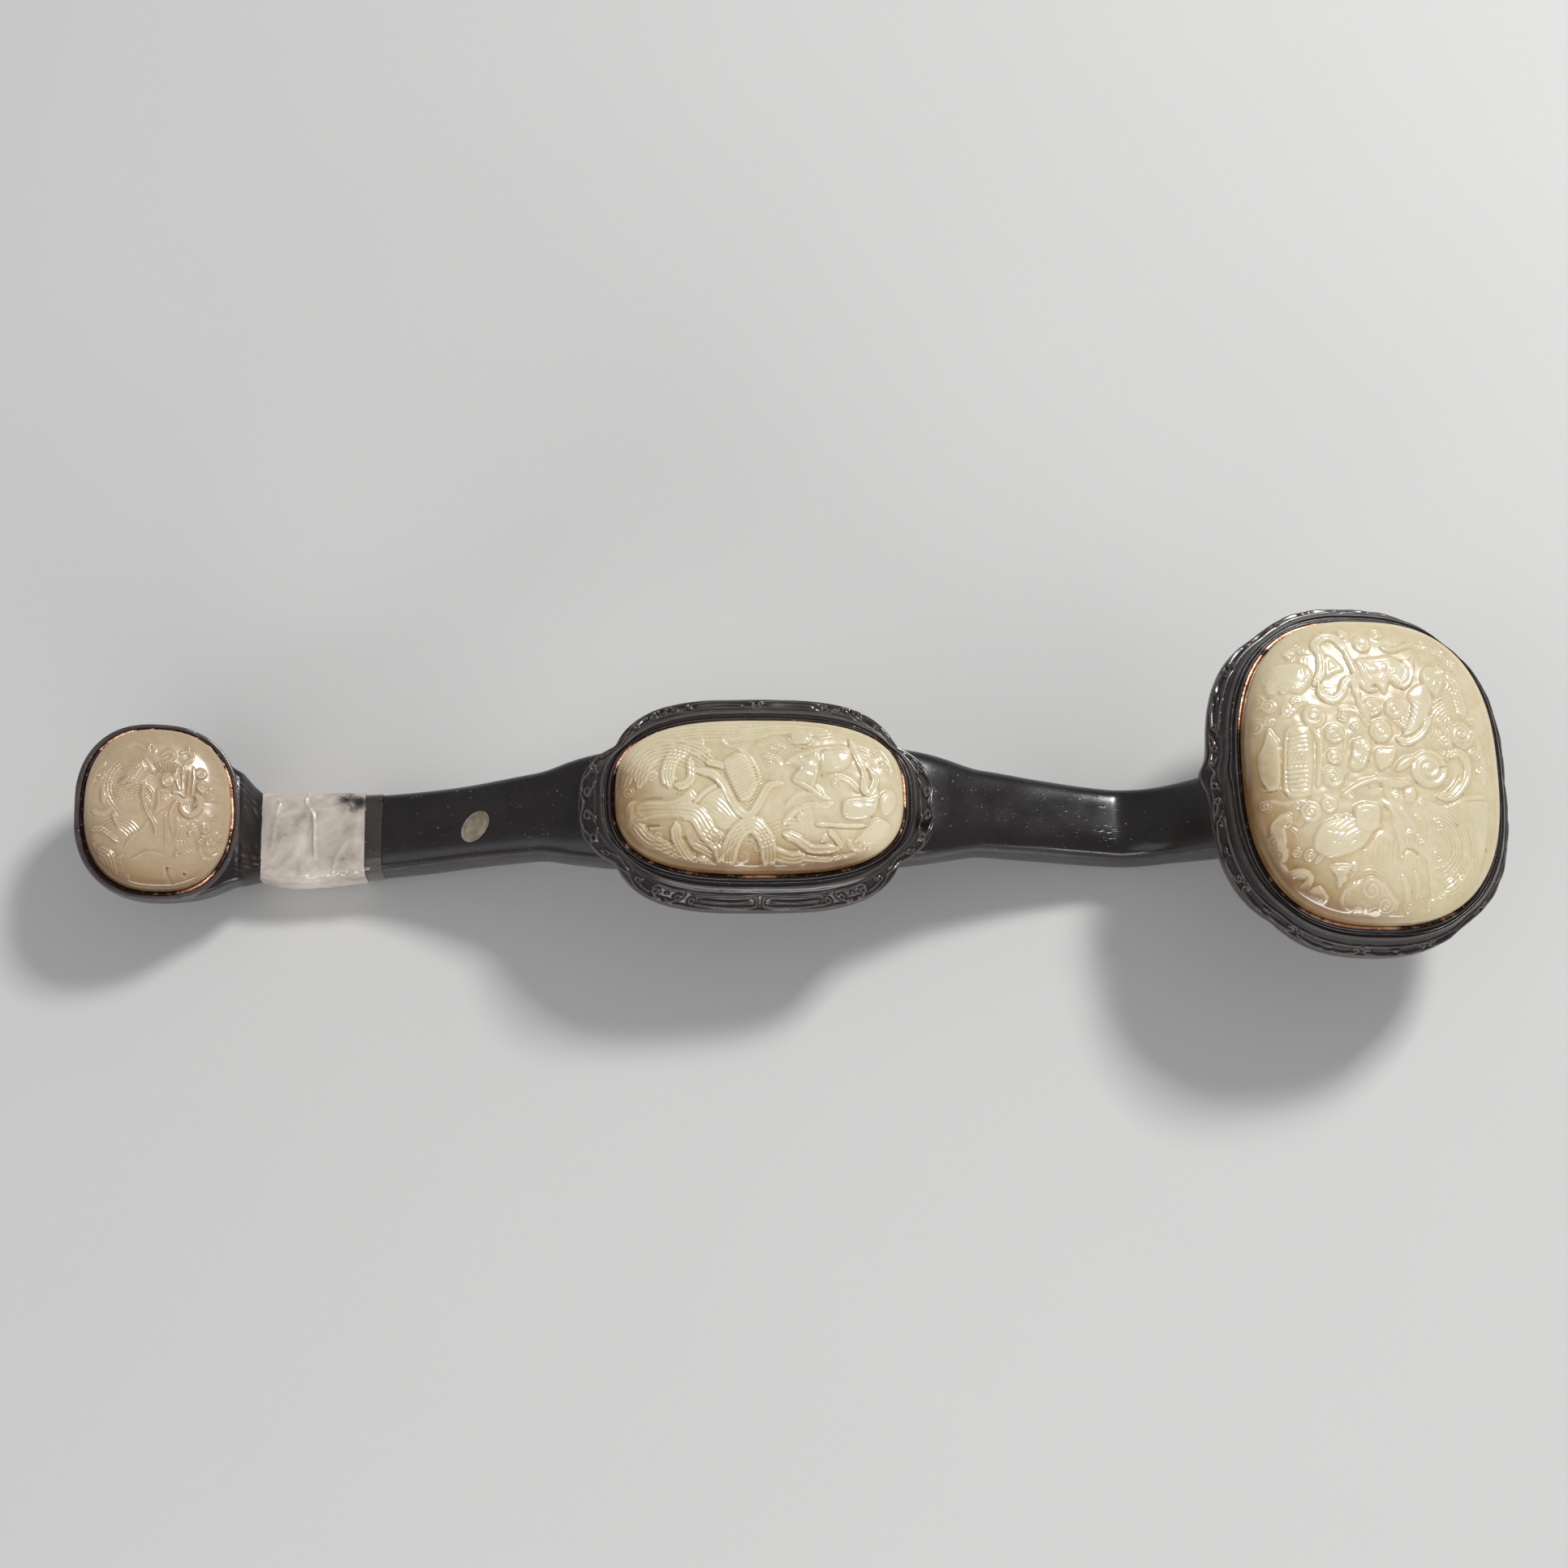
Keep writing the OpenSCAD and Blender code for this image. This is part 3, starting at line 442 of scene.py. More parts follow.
# Jade plaques: a grid shaped into a dome, then carved.
# The main motifs were picked in enlarged crops of the photograph. Their places are pixels of the
# crop, which pickedAt turns into millimetres; all widths, radii and heights are millimetres.
cropSpec = {
    # the crop's corner in the photograph, and its enlargement
    "head": (1520, 760, 4), "mid": (750, 885, 4), "tail": (95, 895, 6),
}
headPicks = [
    ("curl", 628, 135, 3.4, 0.8, 1, 0),
    ("curl", 535, 88, 2.2, 0.6, -1, 1),
    ("curl", 700, 88, 2.6, 0.6, 1, 2),
    ("ribbon", [(720, 150), (770, 165), (830, 150), (880, 130)], 2.2, 0.55, 2),
    ("ribbon", [(395, 335), (430, 270), (425, 190), (398, 140), (440, 100), (500, 112),
        (545, 170)], 3.6, 0.9, 3),
    ("ribbon", [(545, 165), (570, 215), (600, 280), (650, 345), (700, 360)], 2.6, 0.85, 2),
    ("pad", [(450, 185), (500, 205), (545, 260), (500, 280), (460, 300), (440, 250)], 1.2, 0.35, 0.3),
    ("ribbon", [(418, 330), (440, 385), (490, 408), (530, 378), (548, 325), (580, 305), (600, 345),
        (612, 400)], 3.4, 1.0, 3),
    ("ribbon", [(612, 395), (635, 455), (668, 505)], 2.4, 0.8, 2),
    ("pad", [(590, 215), (680, 196), (770, 190), (835, 215), (885, 195), (888, 270), (850, 345),
        (800, 350), (770, 330), (745, 385), (700, 345), (655, 370), (612, 290)], 1.6, 1.0, 0.5),
    ("ribbon", [(832, 220), (862, 262), (850, 320), (815, 340)], 3.4, 1.75, 1),
    ("curl", 690, 262, 2.2, 1.9, 1, 0),
    ("curl", 735, 300, 2.0, 1.9, -1, 1),
    ("curl", 775, 262, 2.2, 1.9, -1, 2),
    ("curl", 738, 250, 1.8, 1.9, 1, 2),
    ("fan", 740, 385, 0.5, 7, 60, 120, 7, 0.2),
    ("line", [(640, 240), (665, 300), (700, 345)], 0.45, -0.35),
    ("line", [(610, 225), (650, 290), (690, 330)], 0.4, 0.35),
    ("curl", 680, 445, 3.6, 1.0, 1, 0),
    ("curl", 790, 452, 3.8, 1.0, -1, 1),
    ("curl", 725, 562, 4.2, 1.1, 1, 2),
    ("curl", 395, 488, 4.3, 0.95, -1, 1),
    ("curl", 495, 575, 3.7, 0.9, 1, 0),
    ("curl", 497, 690, 3.0, 0.75, -1, 2),
    ("curl", 492, 790, 4.0, 0.9, 1, 1),
    ("curl", 380, 965, 3.8, 0.9, -1, 2),
    ("curl", 470, 925, 3.2, 0.85, 1, 0),
    ("ribbon", [(355, 520), (400, 560), (425, 620), (425, 740), (415, 840)], 2.2, 0.5, 2),
    ("pad", [(265, 545), (350, 530), (385, 560), (395, 700), (385, 850), (370, 888), (290, 895),
        (240, 850), (238, 700), (245, 600)], 1.2, 0.75, 0.15),
    ("hatch", 318, 620, 4.4, 4.4, 8, 1.5, 0.16),
    ("hatch", 318, 790, 4.6, 6.2, 3, 1.6, 0.2),
    ("hatch", 300, 700, 3, 4, 60, 1.2, 0.16),
    ("line", [(270, 560), (262, 700), (268, 850)], 0.4, -0.25),
    ("line", [(372, 560), (380, 700), (372, 860)], 0.4, -0.25),
    ("pad", [(165, 545), (200, 580), (225, 620), (236, 720), (232, 835), (172, 862), (122, 800),
        (108, 700), (135, 640)], 1.1, 1.0, 0.35),
    ("line", [(215, 600), (226, 720), (222, 830)], 0.5, 0.25),
    ("step", [(90, 835), (160, 862), (235, 852), (290, 900), (370, 892)], 2.4, -0.5),
    ("pad", [(130, 300), (160, 250), (230, 228), (300, 220), (370, 240), (400, 300), (380, 340),
        (330, 385), (255, 375), (190, 395), (140, 370)], 2.2, 0.7, 0.5),
    ("curl", 180, 310, 3.6, 1.0, 1, 0),
    ("curl", 265, 300, 2.8, 1.15, -1, 2),
    ("curl", 335, 275, 2.6, 1.15, 1, 1),
    ("curl", 325, 340, 2.2, 1.1, -1, 0),
    ("curl", 240, 355, 2.2, 1.0, 1, 2),
    ("curl", 100, 425, 3.4, 0.6, 1, 1),
    ("curl", 165, 440, 2.8, 0.6, -1, 0),
    ("curl", 105, 545, 3.4, 0.6, -1, 2),
    ("curl", 170, 520, 2.2, 0.5, 1, 2),
    ("pad", [(890, 335), (950, 330), (985, 420), (962, 500), (905, 575), (850, 600), (820, 590),
        (850, 520), (870, 440), (850, 380)], 1.5, 0.65, 0.7),
    ("ribbon", [(805, 600), (860, 615), (925, 575), (965, 495)], 3.0, 1.25, 3),
    ("hatch", 1000, 450, 2.2, 5.2, -62, 1.0, 0.16),
    ("pad", [(925, 250), (1000, 240), (1045, 300), (1010, 400), (960, 380), (915, 320)], 1.8, 0.6, 0.5),
    ("curl", 968, 318, 3.4, 1.2, -1, 0),
    ("curl", 1122, 575, 4.2, 0.55, 1, 1),
    ("curl", 1010, 275, 2.4, 1.1, 1, 2),
    ("ribbon", [(1045, 270), (1090, 340), (1120, 430), (1130, 500)], 3.6, 0.35, 4),
    ("ribbon", [(1060, 500), (1080, 590), (1130, 640), (1180, 600)], 2.6, 0.45, 3),
    ("curl", 965, 752, 6.8, 1.15, 1, 0),
    ("ribbon", [(1050, 690), (1110, 672), (1150, 720), (1145, 800), (1085, 880),
        (1010, 885)], 3.4, 0.8, 3),
    ("line", [(1005, 748), (1060, 735), (1112, 722)], 0.4, -0.7),
    ("pad", [(585, 610), (640, 590), (680, 620), (670, 690), (650, 745), (600, 765), (562, 730),
        (575, 670)], 1.4, 0.8, 0.5),
    ("curl", 610, 625, 2.0, 1.5, 1, 1),
    ("curl", 655, 645, 2.0, 1.5, -1, 0),
    ("curl", 612, 700, 2.2, 1.5, -1, 2),
    ("line", [(585, 660), (600, 700), (640, 720), (655, 690)], 0.45, 0.4),
    ("pad", [(690, 675), (710, 640), (760, 640), (800, 648), (785, 715), (735, 760),
        (705, 740)], 1.2, 0.6, 0.4),
    ("line", [(795, 650), (785, 700), (765, 735)], 0.5, 0.45),
    ("pad", [(790, 750), (820, 700), (870, 678), (905, 690), (870, 740), (820, 765)], 1.1, 0.7, 0.4),
    ("line", [(800, 748), (840, 715), (890, 690)], 0.4, 0.35),
    ("pad", [(700, 770), (780, 790), (850, 800), (880, 830), (820, 850), (740, 835)], 1.2, 0.5, 0.3),
    ("pad", [(545, 875), (600, 835), (680, 800), (722, 812), (745, 900), (772, 1000), (800, 1100),
        (816, 1192), (868, 1140), (940, 1198), (957, 1260), (957, 1500), (1080, 1440), (1200, 1300),
        (1245, 1120), (1250, 900), (1160, 880), (1050, 930), (950, 905), (850, 880), (760, 800),
        (690, 785), (620, 800), (560, 850)], 0.9, 0.42, 0.1),
    ("ribbon", [(530, 885), (600, 835), (680, 803), (740, 800), (800, 812)], 2.0, 0.9, 2),
    ("line", [(718, 815), (745, 900), (775, 1000), (802, 1100), (816, 1190)], 0.6, -0.6),
    ("line", [(816, 1190), (868, 1142), (940, 1200), (957, 1262), (957, 1400)], 0.55, -0.5),
    ("pad", [(835, 850), (885, 835), (905, 880), (880, 925), (835, 910)], 1, 0.85, 0.3),
    ("curl", 860, 885, 2.2, 1.1, 1, 0),
    ("curl", 925, 925, 2.0, 0.9, -1, 1),
    ("curl", 800, 880, 1.8, 0.9, -1, 0),
    ("curl", 915, 1095, 2.4, 0.9, 1, 1),
    ("curl", 870, 1070, 1.8, 0.8, -1, 0),
    ("curl", 905, 990, 1.8, 0.7, 1, 2),
    ("pad", [(430, 1015), (500, 985), (600, 975), (700, 985), (735, 1035), (690, 1080), (640, 1145),
        (560, 1185), (470, 1195), (405, 1165), (388, 1095)], 1.6, 0.75, 0.7),
    ("pad", [(592, 932), (650, 912), (718, 930), (728, 985), (715, 1050), (660, 1075), (600, 1050),
        (588, 990)], 1.5, 1.75, 0.3),
    ("line", [(592, 935), (650, 918), (718, 938)], 0.5, 0.4),
    ("line", [(480, 1188), (560, 1178), (645, 1138), (700, 1060), (735, 1042)], 0.7, -0.55),
    ("curl", 600, 1085, 1.9, 1.6, 1, 0),
    ("curl", 520, 1000, 1.8, 1.0, -1, 1),
    ("curl", 560, 995, 1.7, 1.0, 1, 1),
    ("line", [(425, 1015), (384, 1085), (398, 1170), (440, 1240), (490, 1300)], 0.45, -0.45),
    ("pad", [(160, 1060), (185, 1000), (250, 960), (290, 975), (270, 1040), (275, 1120), (250, 1180),
        (240, 1225), (290, 1255), (345, 1245), (378, 1275), (370, 1310), (330, 1300), (280, 1290),
        (215, 1280), (168, 1225), (148, 1140)], 1.6, 0.95, 0.5),
    ("curl", 205, 1110, 3.6, 1.4, 1, 0),
    ("curl", 215, 1175, 3.8, 1.5, -1, 2),
    ("curl", 250, 1010, 3.0, 1.3, 1, 1),
    ("ribbon", [(200, 1235), (260, 1275), (330, 1262), (375, 1290), (345, 1345),
        (325, 1390)], 3.0, 1.3, 2),
    ("pad", [(330, 1345), (385, 1330), (450, 1340), (478, 1385), (450, 1430), (380, 1442), (322, 1420),
        (305, 1380)], 1.6, 0.95, 0.4),
    ("curl", 405, 1388, 3.8, 1.3, 1, 1),
    ("curl", 375, 1180, 2.4, 0.6, -1, 1),
    ("pad", [(475, 1225), (580, 1222), (572, 1265), (548, 1290), (538, 1335), (508, 1332), (500, 1285),
        (480, 1255)], 1.1, 0.9, 0.3),
    ("hatch", 530, 1235, 3.8, 1.6, 0, 0.9, 0.2),
    ("curl", 535, 1290, 1.9, 1.5, 1, 0),
    ("pad", [(530, 1345), (600, 1300), (680, 1282), (745, 1300), (800, 1370), (828, 1410), (800, 1470),
        (700, 1475), (640, 1510), (560, 1490), (515, 1430)], 1.8, 0.65, 0.3),
    ("curl", 680, 1345, 4.4, 1.25, -1, 0),
    ("curl", 612, 1462, 3.9, 1.1, 1, 1),
    ("curl", 748, 1420, 4.0, 1.15, 1, 2),
    ("curl", 590, 1360, 2.4, 0.9, 1, 0),
    ("curl", 985, 1420, 2.7, 0.75, 1, 0),
    ("ribbon", [(1000, 1390), (1060, 1350), (1130, 1290), (1180, 1200)], 3.2, 0.6, 4),
    ("ribbon", [(1040, 1310), (1100, 1260), (1140, 1180), (1140, 1100)], 3.2, 0.65, 4),
    ("ribbon", [(1080, 1190), (1110, 1130), (1105, 1060), (1060, 1010)], 3.0, 0.6, 3),
    ("ribbon", [(980, 1080), (1040, 1120), (1100, 1090), (1130, 1020)], 2.6, 0.55, 3),
    ("curl", 1010, 1030, 3.2, 0.75, -1, 0),
    ("curl", 1170, 1000, 3.0, 0.4, 1, 0),
    ("ribbon", [(1180, 1150), (1215, 1080), (1215, 1000)], 2.6, 0.35, 3),
    ("line", [(1150, 912), (1205, 905), (1250, 908)], 0.35, -0.35),
    ("curl", 1005, 1180, 3.0, 0.7, 1, 2),
    ("ribbon", [(985, 1240), (1030, 1235), (1070, 1200)], 2.4, 0.6, 2),
]
midPicks = [
    ("ribbon", [(70, 330), (110, 200), (210, 110), (400, 70), (620, 62), (820, 45)], 9, 0.35, 7),
    ("ribbon", [(150, 330), (180, 220), (260, 160), (380, 140), (480, 160)], 6, 0.55, 5),
    ("ribbon", [(560, 95), (700, 70), (830, 55), (980, 60), (1090, 75)], 4.5, 0.5, 4),
    ("ribbon", [(300, 330), (290, 270), (320, 190), (390, 150)], 5.2, 0.9, 5),
    ("ribbon", [(330, 330), (370, 330), (405, 290), (400, 200)], 3.2, 1.0, 3),
    ("pad", [(60, 470), (100, 400), (180, 395), (310, 390), (400, 340), (440, 400), (400, 440),
        (450, 480), (380, 500), (250, 505), (150, 530), (90, 560)], 2, 0.55, 0.6),
    ("line", [(130, 425), (200, 400), (310, 392), (405, 335)], 0.6, -0.5),
    ("line", [(130, 430), (135, 470), (170, 500)], 0.5, -0.35),
    ("pad", [(435, 415), (505, 350), (580, 335), (615, 420), (665, 490), (640, 540), (570, 560),
        (505, 525), (450, 460)], 1.6, 0.35, 0.6),
    ("ribbon", [(415, 255), (500, 270), (560, 320), (600, 400), (650, 468), (700, 475), (750, 400),
        (790, 335), (850, 322)], 3.0, 1.15, 1),
    ("ribbon", [(480, 215), (520, 222), (570, 235)], 2.6, 0.9, 1),
    ("ribbon", [(420, 420), (470, 365), (530, 330)], 2.0, 0.8, 2),
    ("pad", [(555, 215), (600, 180), (650, 165), (700, 200), (735, 300), (740, 340), (700, 405),
        (650, 410), (620, 375), (585, 300)], 1.4, 1.2, 0.4),
    ("hatch", 650, 280, 6.8, 11, 24, 1.1, 0.2),
    ("hatch", 672, 385, 4, 2.6, -30, 0.9, 0.18),
    ("line", [(555, 105), (580, 130), (640, 150), (690, 200)], 0.5, 0.45),
    ("line", [(690, 190), (730, 260), (742, 330)], 0.45, 0.5),
    ("pad", [(860, 222), (900, 190), (960, 165), (1045, 148), (1040, 250), (1020, 330), (960, 330),
        (900, 290), (930, 240)], 1.4, 0.75, 0.6),
    ("line", [(862, 222), (940, 178), (1050, 150), (1180, 142)], 0.7, 0.65),
    ("pad", [(890, 80), (930, 55), (980, 65), (1010, 100), (980, 130), (910, 130)], 1.1, 0.75, 0.3),
    ("fan", 950, 150, 1.5, 6.5, 70, 150, 7, 0.95),
    ("pad", [(1045, 168), (1110, 155), (1190, 150), (1188, 215), (1140, 256), (1065, 256),
        (1040, 215)], 1, 1.05, 0.1),
    ("line", [(1045, 168), (1110, 157), (1188, 150), (1188, 215), (1140, 254), (1065, 256),
        (1042, 215), (1045, 168)], 0.45, 0.5),
    ("line", [(1000, 330), (1015, 290), (1030, 260)], 0.5, 0.5),
    ("line", [(985, 340), (1010, 330), (1035, 350), (1060, 390)], 0.5, 0.45),
    ("ribbon", [(905, 300), (950, 320), (1000, 350), (1050, 385)], 2.2, 0.8, 2),
    ("ribbon", [(1185, 105), (1225, 190), (1262, 270), (1258, 345), (1290, 368), (1315, 300),
        (1280, 250)], 3.0, 1.2, 2),
    ("pad", [(1145, 425), (1180, 392), (1290, 378), (1330, 345), (1335, 420), (1300, 485), (1210, 502),
        (1152, 482)], 1.3, 1.1, 0.5),
    ("line", [(1150, 425), (1190, 398), (1290, 384), (1325, 350)], 0.5, 0.4),
    ("line", [(1165, 440), (1180, 475), (1240, 488), (1295, 470)], 0.45, -0.3),
    ("pad", [(1220, 600), (1260, 540), (1320, 490), (1390, 520), (1400, 580), (1340, 640),
        (1280, 645)], 1.3, 0.9, 0.5),
    ("fan", 1320, 500, 2.5, 11.5, 215, 330, 11, 1.15),
    ("ribbon", [(1020, 520), (1100, 525), (1180, 530), (1270, 530)], 1.6, 1.15, 0),
    ("pad", [(1330, 380), (1400, 350), (1425, 430), (1390, 480), (1340, 470)], 1.5, 0.7, 0.4),
    ("line", [(800, 480), (850, 462), (905, 455)], 0.9, -0.8),
    ("line", [(850, 385), (890, 370)], 0.5, -0.5),
    ("line", [(765, 300), (815, 295)], 0.6, -0.6),
    ("ribbon", [(940, 440), (990, 425), (1050, 430), (1100, 420)], 2.0, 0.45, 1),
    ("ribbon", [(860, 520), (900, 470), (950, 440)], 2.4, 0.6, 2),
    ("ribbon", [(50, 490), (90, 570), (170, 640), (290, 700), (440, 735), (520, 738)], 6.5, 0.7, 6),
    ("ribbon", [(130, 520), (190, 590), (280, 640), (380, 700)], 4.6, 0.85, 4),
    ("ribbon", [(340, 450), (430, 470), (490, 560), (560, 640), (560, 720)], 6.5, 0.9, 5),
    ("ribbon", [(330, 520), (340, 600), (400, 690), (480, 720)], 4.2, 1.1, 4),
    ("line", [(362, 572), (385, 632), (440, 690)], 1.1, -1.1),
    ("line", [(180, 540), (255, 545)], 1.5, -1.0),
    ("line", [(505, 598), (575, 602)], 1.7, -1.0),
    ("ribbon", [(585, 740), (600, 640), (640, 560), (705, 522), (765, 575), (790, 660),
        (785, 745)], 6.0, 1.2, 5),
    ("pad", [(610, 670), (640, 640), (690, 650), (700, 700), (660, 730), (615, 715)], 1.6, 0.25, 0),
    ("ribbon", [(775, 640), (830, 670), (900, 690), (960, 680)], 4.4, 0.95, 4),
    ("ribbon", [(862, 568), (920, 590), (970, 625), (1010, 645), (1130, 640)], 3.2, 1.05, 3),
    ("ribbon", [(945, 690), (1040, 705), (1140, 700), (1240, 680)], 3.0, 0.9, 2),
    ("ribbon", [(1085, 555), (1120, 590), (1150, 640)], 2.2, 0.9, 1),
    ("line", [(515, 725), (560, 680), (605, 630)], 0.6, 0.55),
    ("line", [(742, 752), (765, 725), (778, 700)], 0.7, 0.7),
    ("line", [(1035, 745), (1090, 700), (1145, 640)], 0.6, 0.6),
    ("line", [(1060, 750), (1110, 710), (1150, 680)], 0.5, 0.5),
    ("ribbon", [(1180, 600), (1210, 640), (1290, 655)], 2.4, 0.6, 2),
    ("hatch", 470, 640, 4, 8, -25, 1.3, 0.18),
    ("hatch", 760, 600, 5, 4, 15, 1.2, 0.18),
    ("curl", 95, 365, 2.2, 0.3, 1, 0),
]
tailPicks = [
    ("pad", [(480, 205), (540, 260), (560, 330), (500, 420), (495, 520), (480, 640), (400, 640),
        (300, 600), (250, 500), (285, 400), (360, 290)], 3, 0.55, 0.5),
    ("hatch", 390, 430, 9.5, 3.2, -38, 0.85, 0.2),
    ("hatch", 355, 480, 7, 3.6, 14, 0.95, 0.2),
    ("hatch", 430, 330, 7, 2.6, -15, 0.9, 0.18),
    ("hatch", 440, 570, 4, 6, 70, 0.9, 0.18),
    ("hatch", 320, 440, 4.4, 5, -60, 0.9, 0.15),
    ("line", [(490, 415), (486, 520), (512, 620), (565, 720), (588, 805)], 0.55, 1.2),
    ("line", [(515, 440), (545, 480), (570, 530)], 0.55, 0.8),
    ("ribbon", [(500, 230), (540, 290), (570, 340)], 2.4, 0.9, 2),
    ("curl", 665, 400, 2.7, 1.3, 1, 0),
    ("fan", 665, 400, 3.0, 7.4, 25, 155, 13, 0.8),
    ("pad", [(700, 345), (745, 350), (735, 400), (705, 395)], 0.6, 1.2, 0.2),
    ("pad", [(580, 470), (640, 455), (700, 500), (720, 545), (690, 600), (620, 640), (560, 640),
        (575, 560)], 1.3, 0.8, 0.5),
    ("line", [(598, 492), (650, 482), (705, 540)], 0.4, -0.5),
    ("line", [(620, 520), (665, 560)], 0.35, 0.6),
    ("line", [(640, 500), (690, 545)], 0.35, 0.6),
    ("line", [(560, 655), (640, 615), (715, 560)], 0.6, -0.6),
    ("ribbon", [(700, 480), (760, 488), (800, 520)], 1.7, 0.9, 1),
    ("ribbon", [(745, 300), (742, 400), (770, 480)], 1.7, 0.75, 1),
    ("ribbon", [(790, 290), (785, 400), (790, 500)], 1.6, 0.85, 1),
    ("line", [(832, 340), (828, 420), (818, 490)], 0.5, 1.1),
    ("ribbon", [(862, 300), (868, 400), (850, 520)], 1.6, 0.8, 1),
    ("ribbon", [(765, 568), (790, 628), (840, 655), (900, 615), (905, 540), (870, 510)], 2.6, 1.3, 2),
    ("line", [(860, 600), (885, 550), (890, 500)], 0.5, 0.9),
    ("curl", 912, 350, 2.3, 0.9, 1, 0),
    ("curl", 928, 452, 2.6, 1.0, -1, 1),
    ("curl", 990, 520, 2.2, 0.7, 1, 2),
    ("line", [(1000, 470), (975, 520)], 0.4, 0.5),
    ("ribbon", [(735, 560), (710, 600), (690, 660), (700, 760)], 1.8, 0.6, 1),
    ("ribbon", [(655, 640), (665, 760), (660, 900)], 1.8, 0.4, 1),
    ("line", [(750, 685), (800, 700), (880, 690)], 0.8, -0.6),
    ("hatch", 745, 775, 3.6, 2.6, -4, 0.95, 0.24),
    ("hatch", 735, 850, 3.6, 1.8, 2, 1.1, 0.2),
    ("curl", 835, 785, 1.4, 0.9, 1, 0),
    ("curl", 940, 760, 2.0, 0.55, 1, 0),
    ("curl", 935, 825, 1.7, 0.6, -1, 0),
    ("curl", 1060, 815, 1.9, 0.5, 1, 1),
    ("curl", 965, 870, 1.6, 0.6, 1, 2),
    ("curl", 1005, 865, 1.4, 0.6, -1, 2),
    ("curl", 905, 850, 1.5, 0.55, 1, 0),
    ("ribbon", [(905, 880), (930, 955), (1000, 982), (1080, 925), (1095, 860)], 1.9, 0.55, 2),
    ("pad", [(180, 430), (225, 470), (235, 520), (205, 575), (165, 560), (160, 480)], 1.3, 0.7, 0.5),
    ("line", [(238, 470), (245, 520), (210, 580)], 0.5, -0.5),
    ("line", [(262, 640), (285, 700), (318, 755)], 0.7, 1.0),
    ("line", [(240, 640), (235, 700), (270, 760)], 0.8, -0.5),
    ("ribbon", [(110, 620), (160, 640), (220, 630), (250, 600)], 2.2, 0.5, 2),
    ("ribbon", [(100, 760), (180, 760), (240, 800), (300, 850)], 2.6, 0.6, 3),
    ("line", [(130, 785), (250, 850), (345, 905)], 0.6, -0.6),
    ("ribbon", [(150, 900), (230, 960), (260, 1060), (250, 1120)], 4.0, 0.5, 4),
    ("ribbon", [(90, 860), (130, 960), (190, 1060)], 3.4, 0.4, 3),
    ("pad", [(365, 1000), (440, 955), (520, 922), (600, 940), (640, 952), (655, 1060), (665, 1130),
        (560, 1150), (450, 1150), (350, 1120)], 1.0, -0.01, 0),
    ("step", [(650, 1130), (658, 1060), (640, 952), (520, 922), (440, 955), (365, 1000)], 2.2, -0.55),
    ("line", [(640, 955), (660, 1060), (690, 1130), (715, 1195)], 0.5, -0.5),
    ("line", [(375, 1100), (385, 1170)], 0.4, 0.35),
    ("line", [(282, 185), (262, 260), (222, 302)], 0.45, -0.45),
    ("line", [(105, 350), (150, 280), (175, 250)], 0.4, -0.35),
    ("ribbon", [(105, 420), (130, 330), (200, 260)], 3, 0.4, 3),
    ("line", [(520, 180), (550, 130), (575, 180)], 0.5, 0.5),
    ("ribbon", [(620, 210), (680, 185), (720, 210), (690, 250), (640, 270)], 2.0, 0.5, 2),
    ("ribbon", [(760, 200), (820, 190), (850, 240), (800, 270)], 2.0, 0.4, 2),
    ("line", [(785, 1090), (805, 1102)], 0.5, -0.9),
    ("line", [(945, 560), (1080, 565)], 0.3, -0.2),
    ("line", [(950, 730), (1110, 722)], 0.3, -0.25),
]
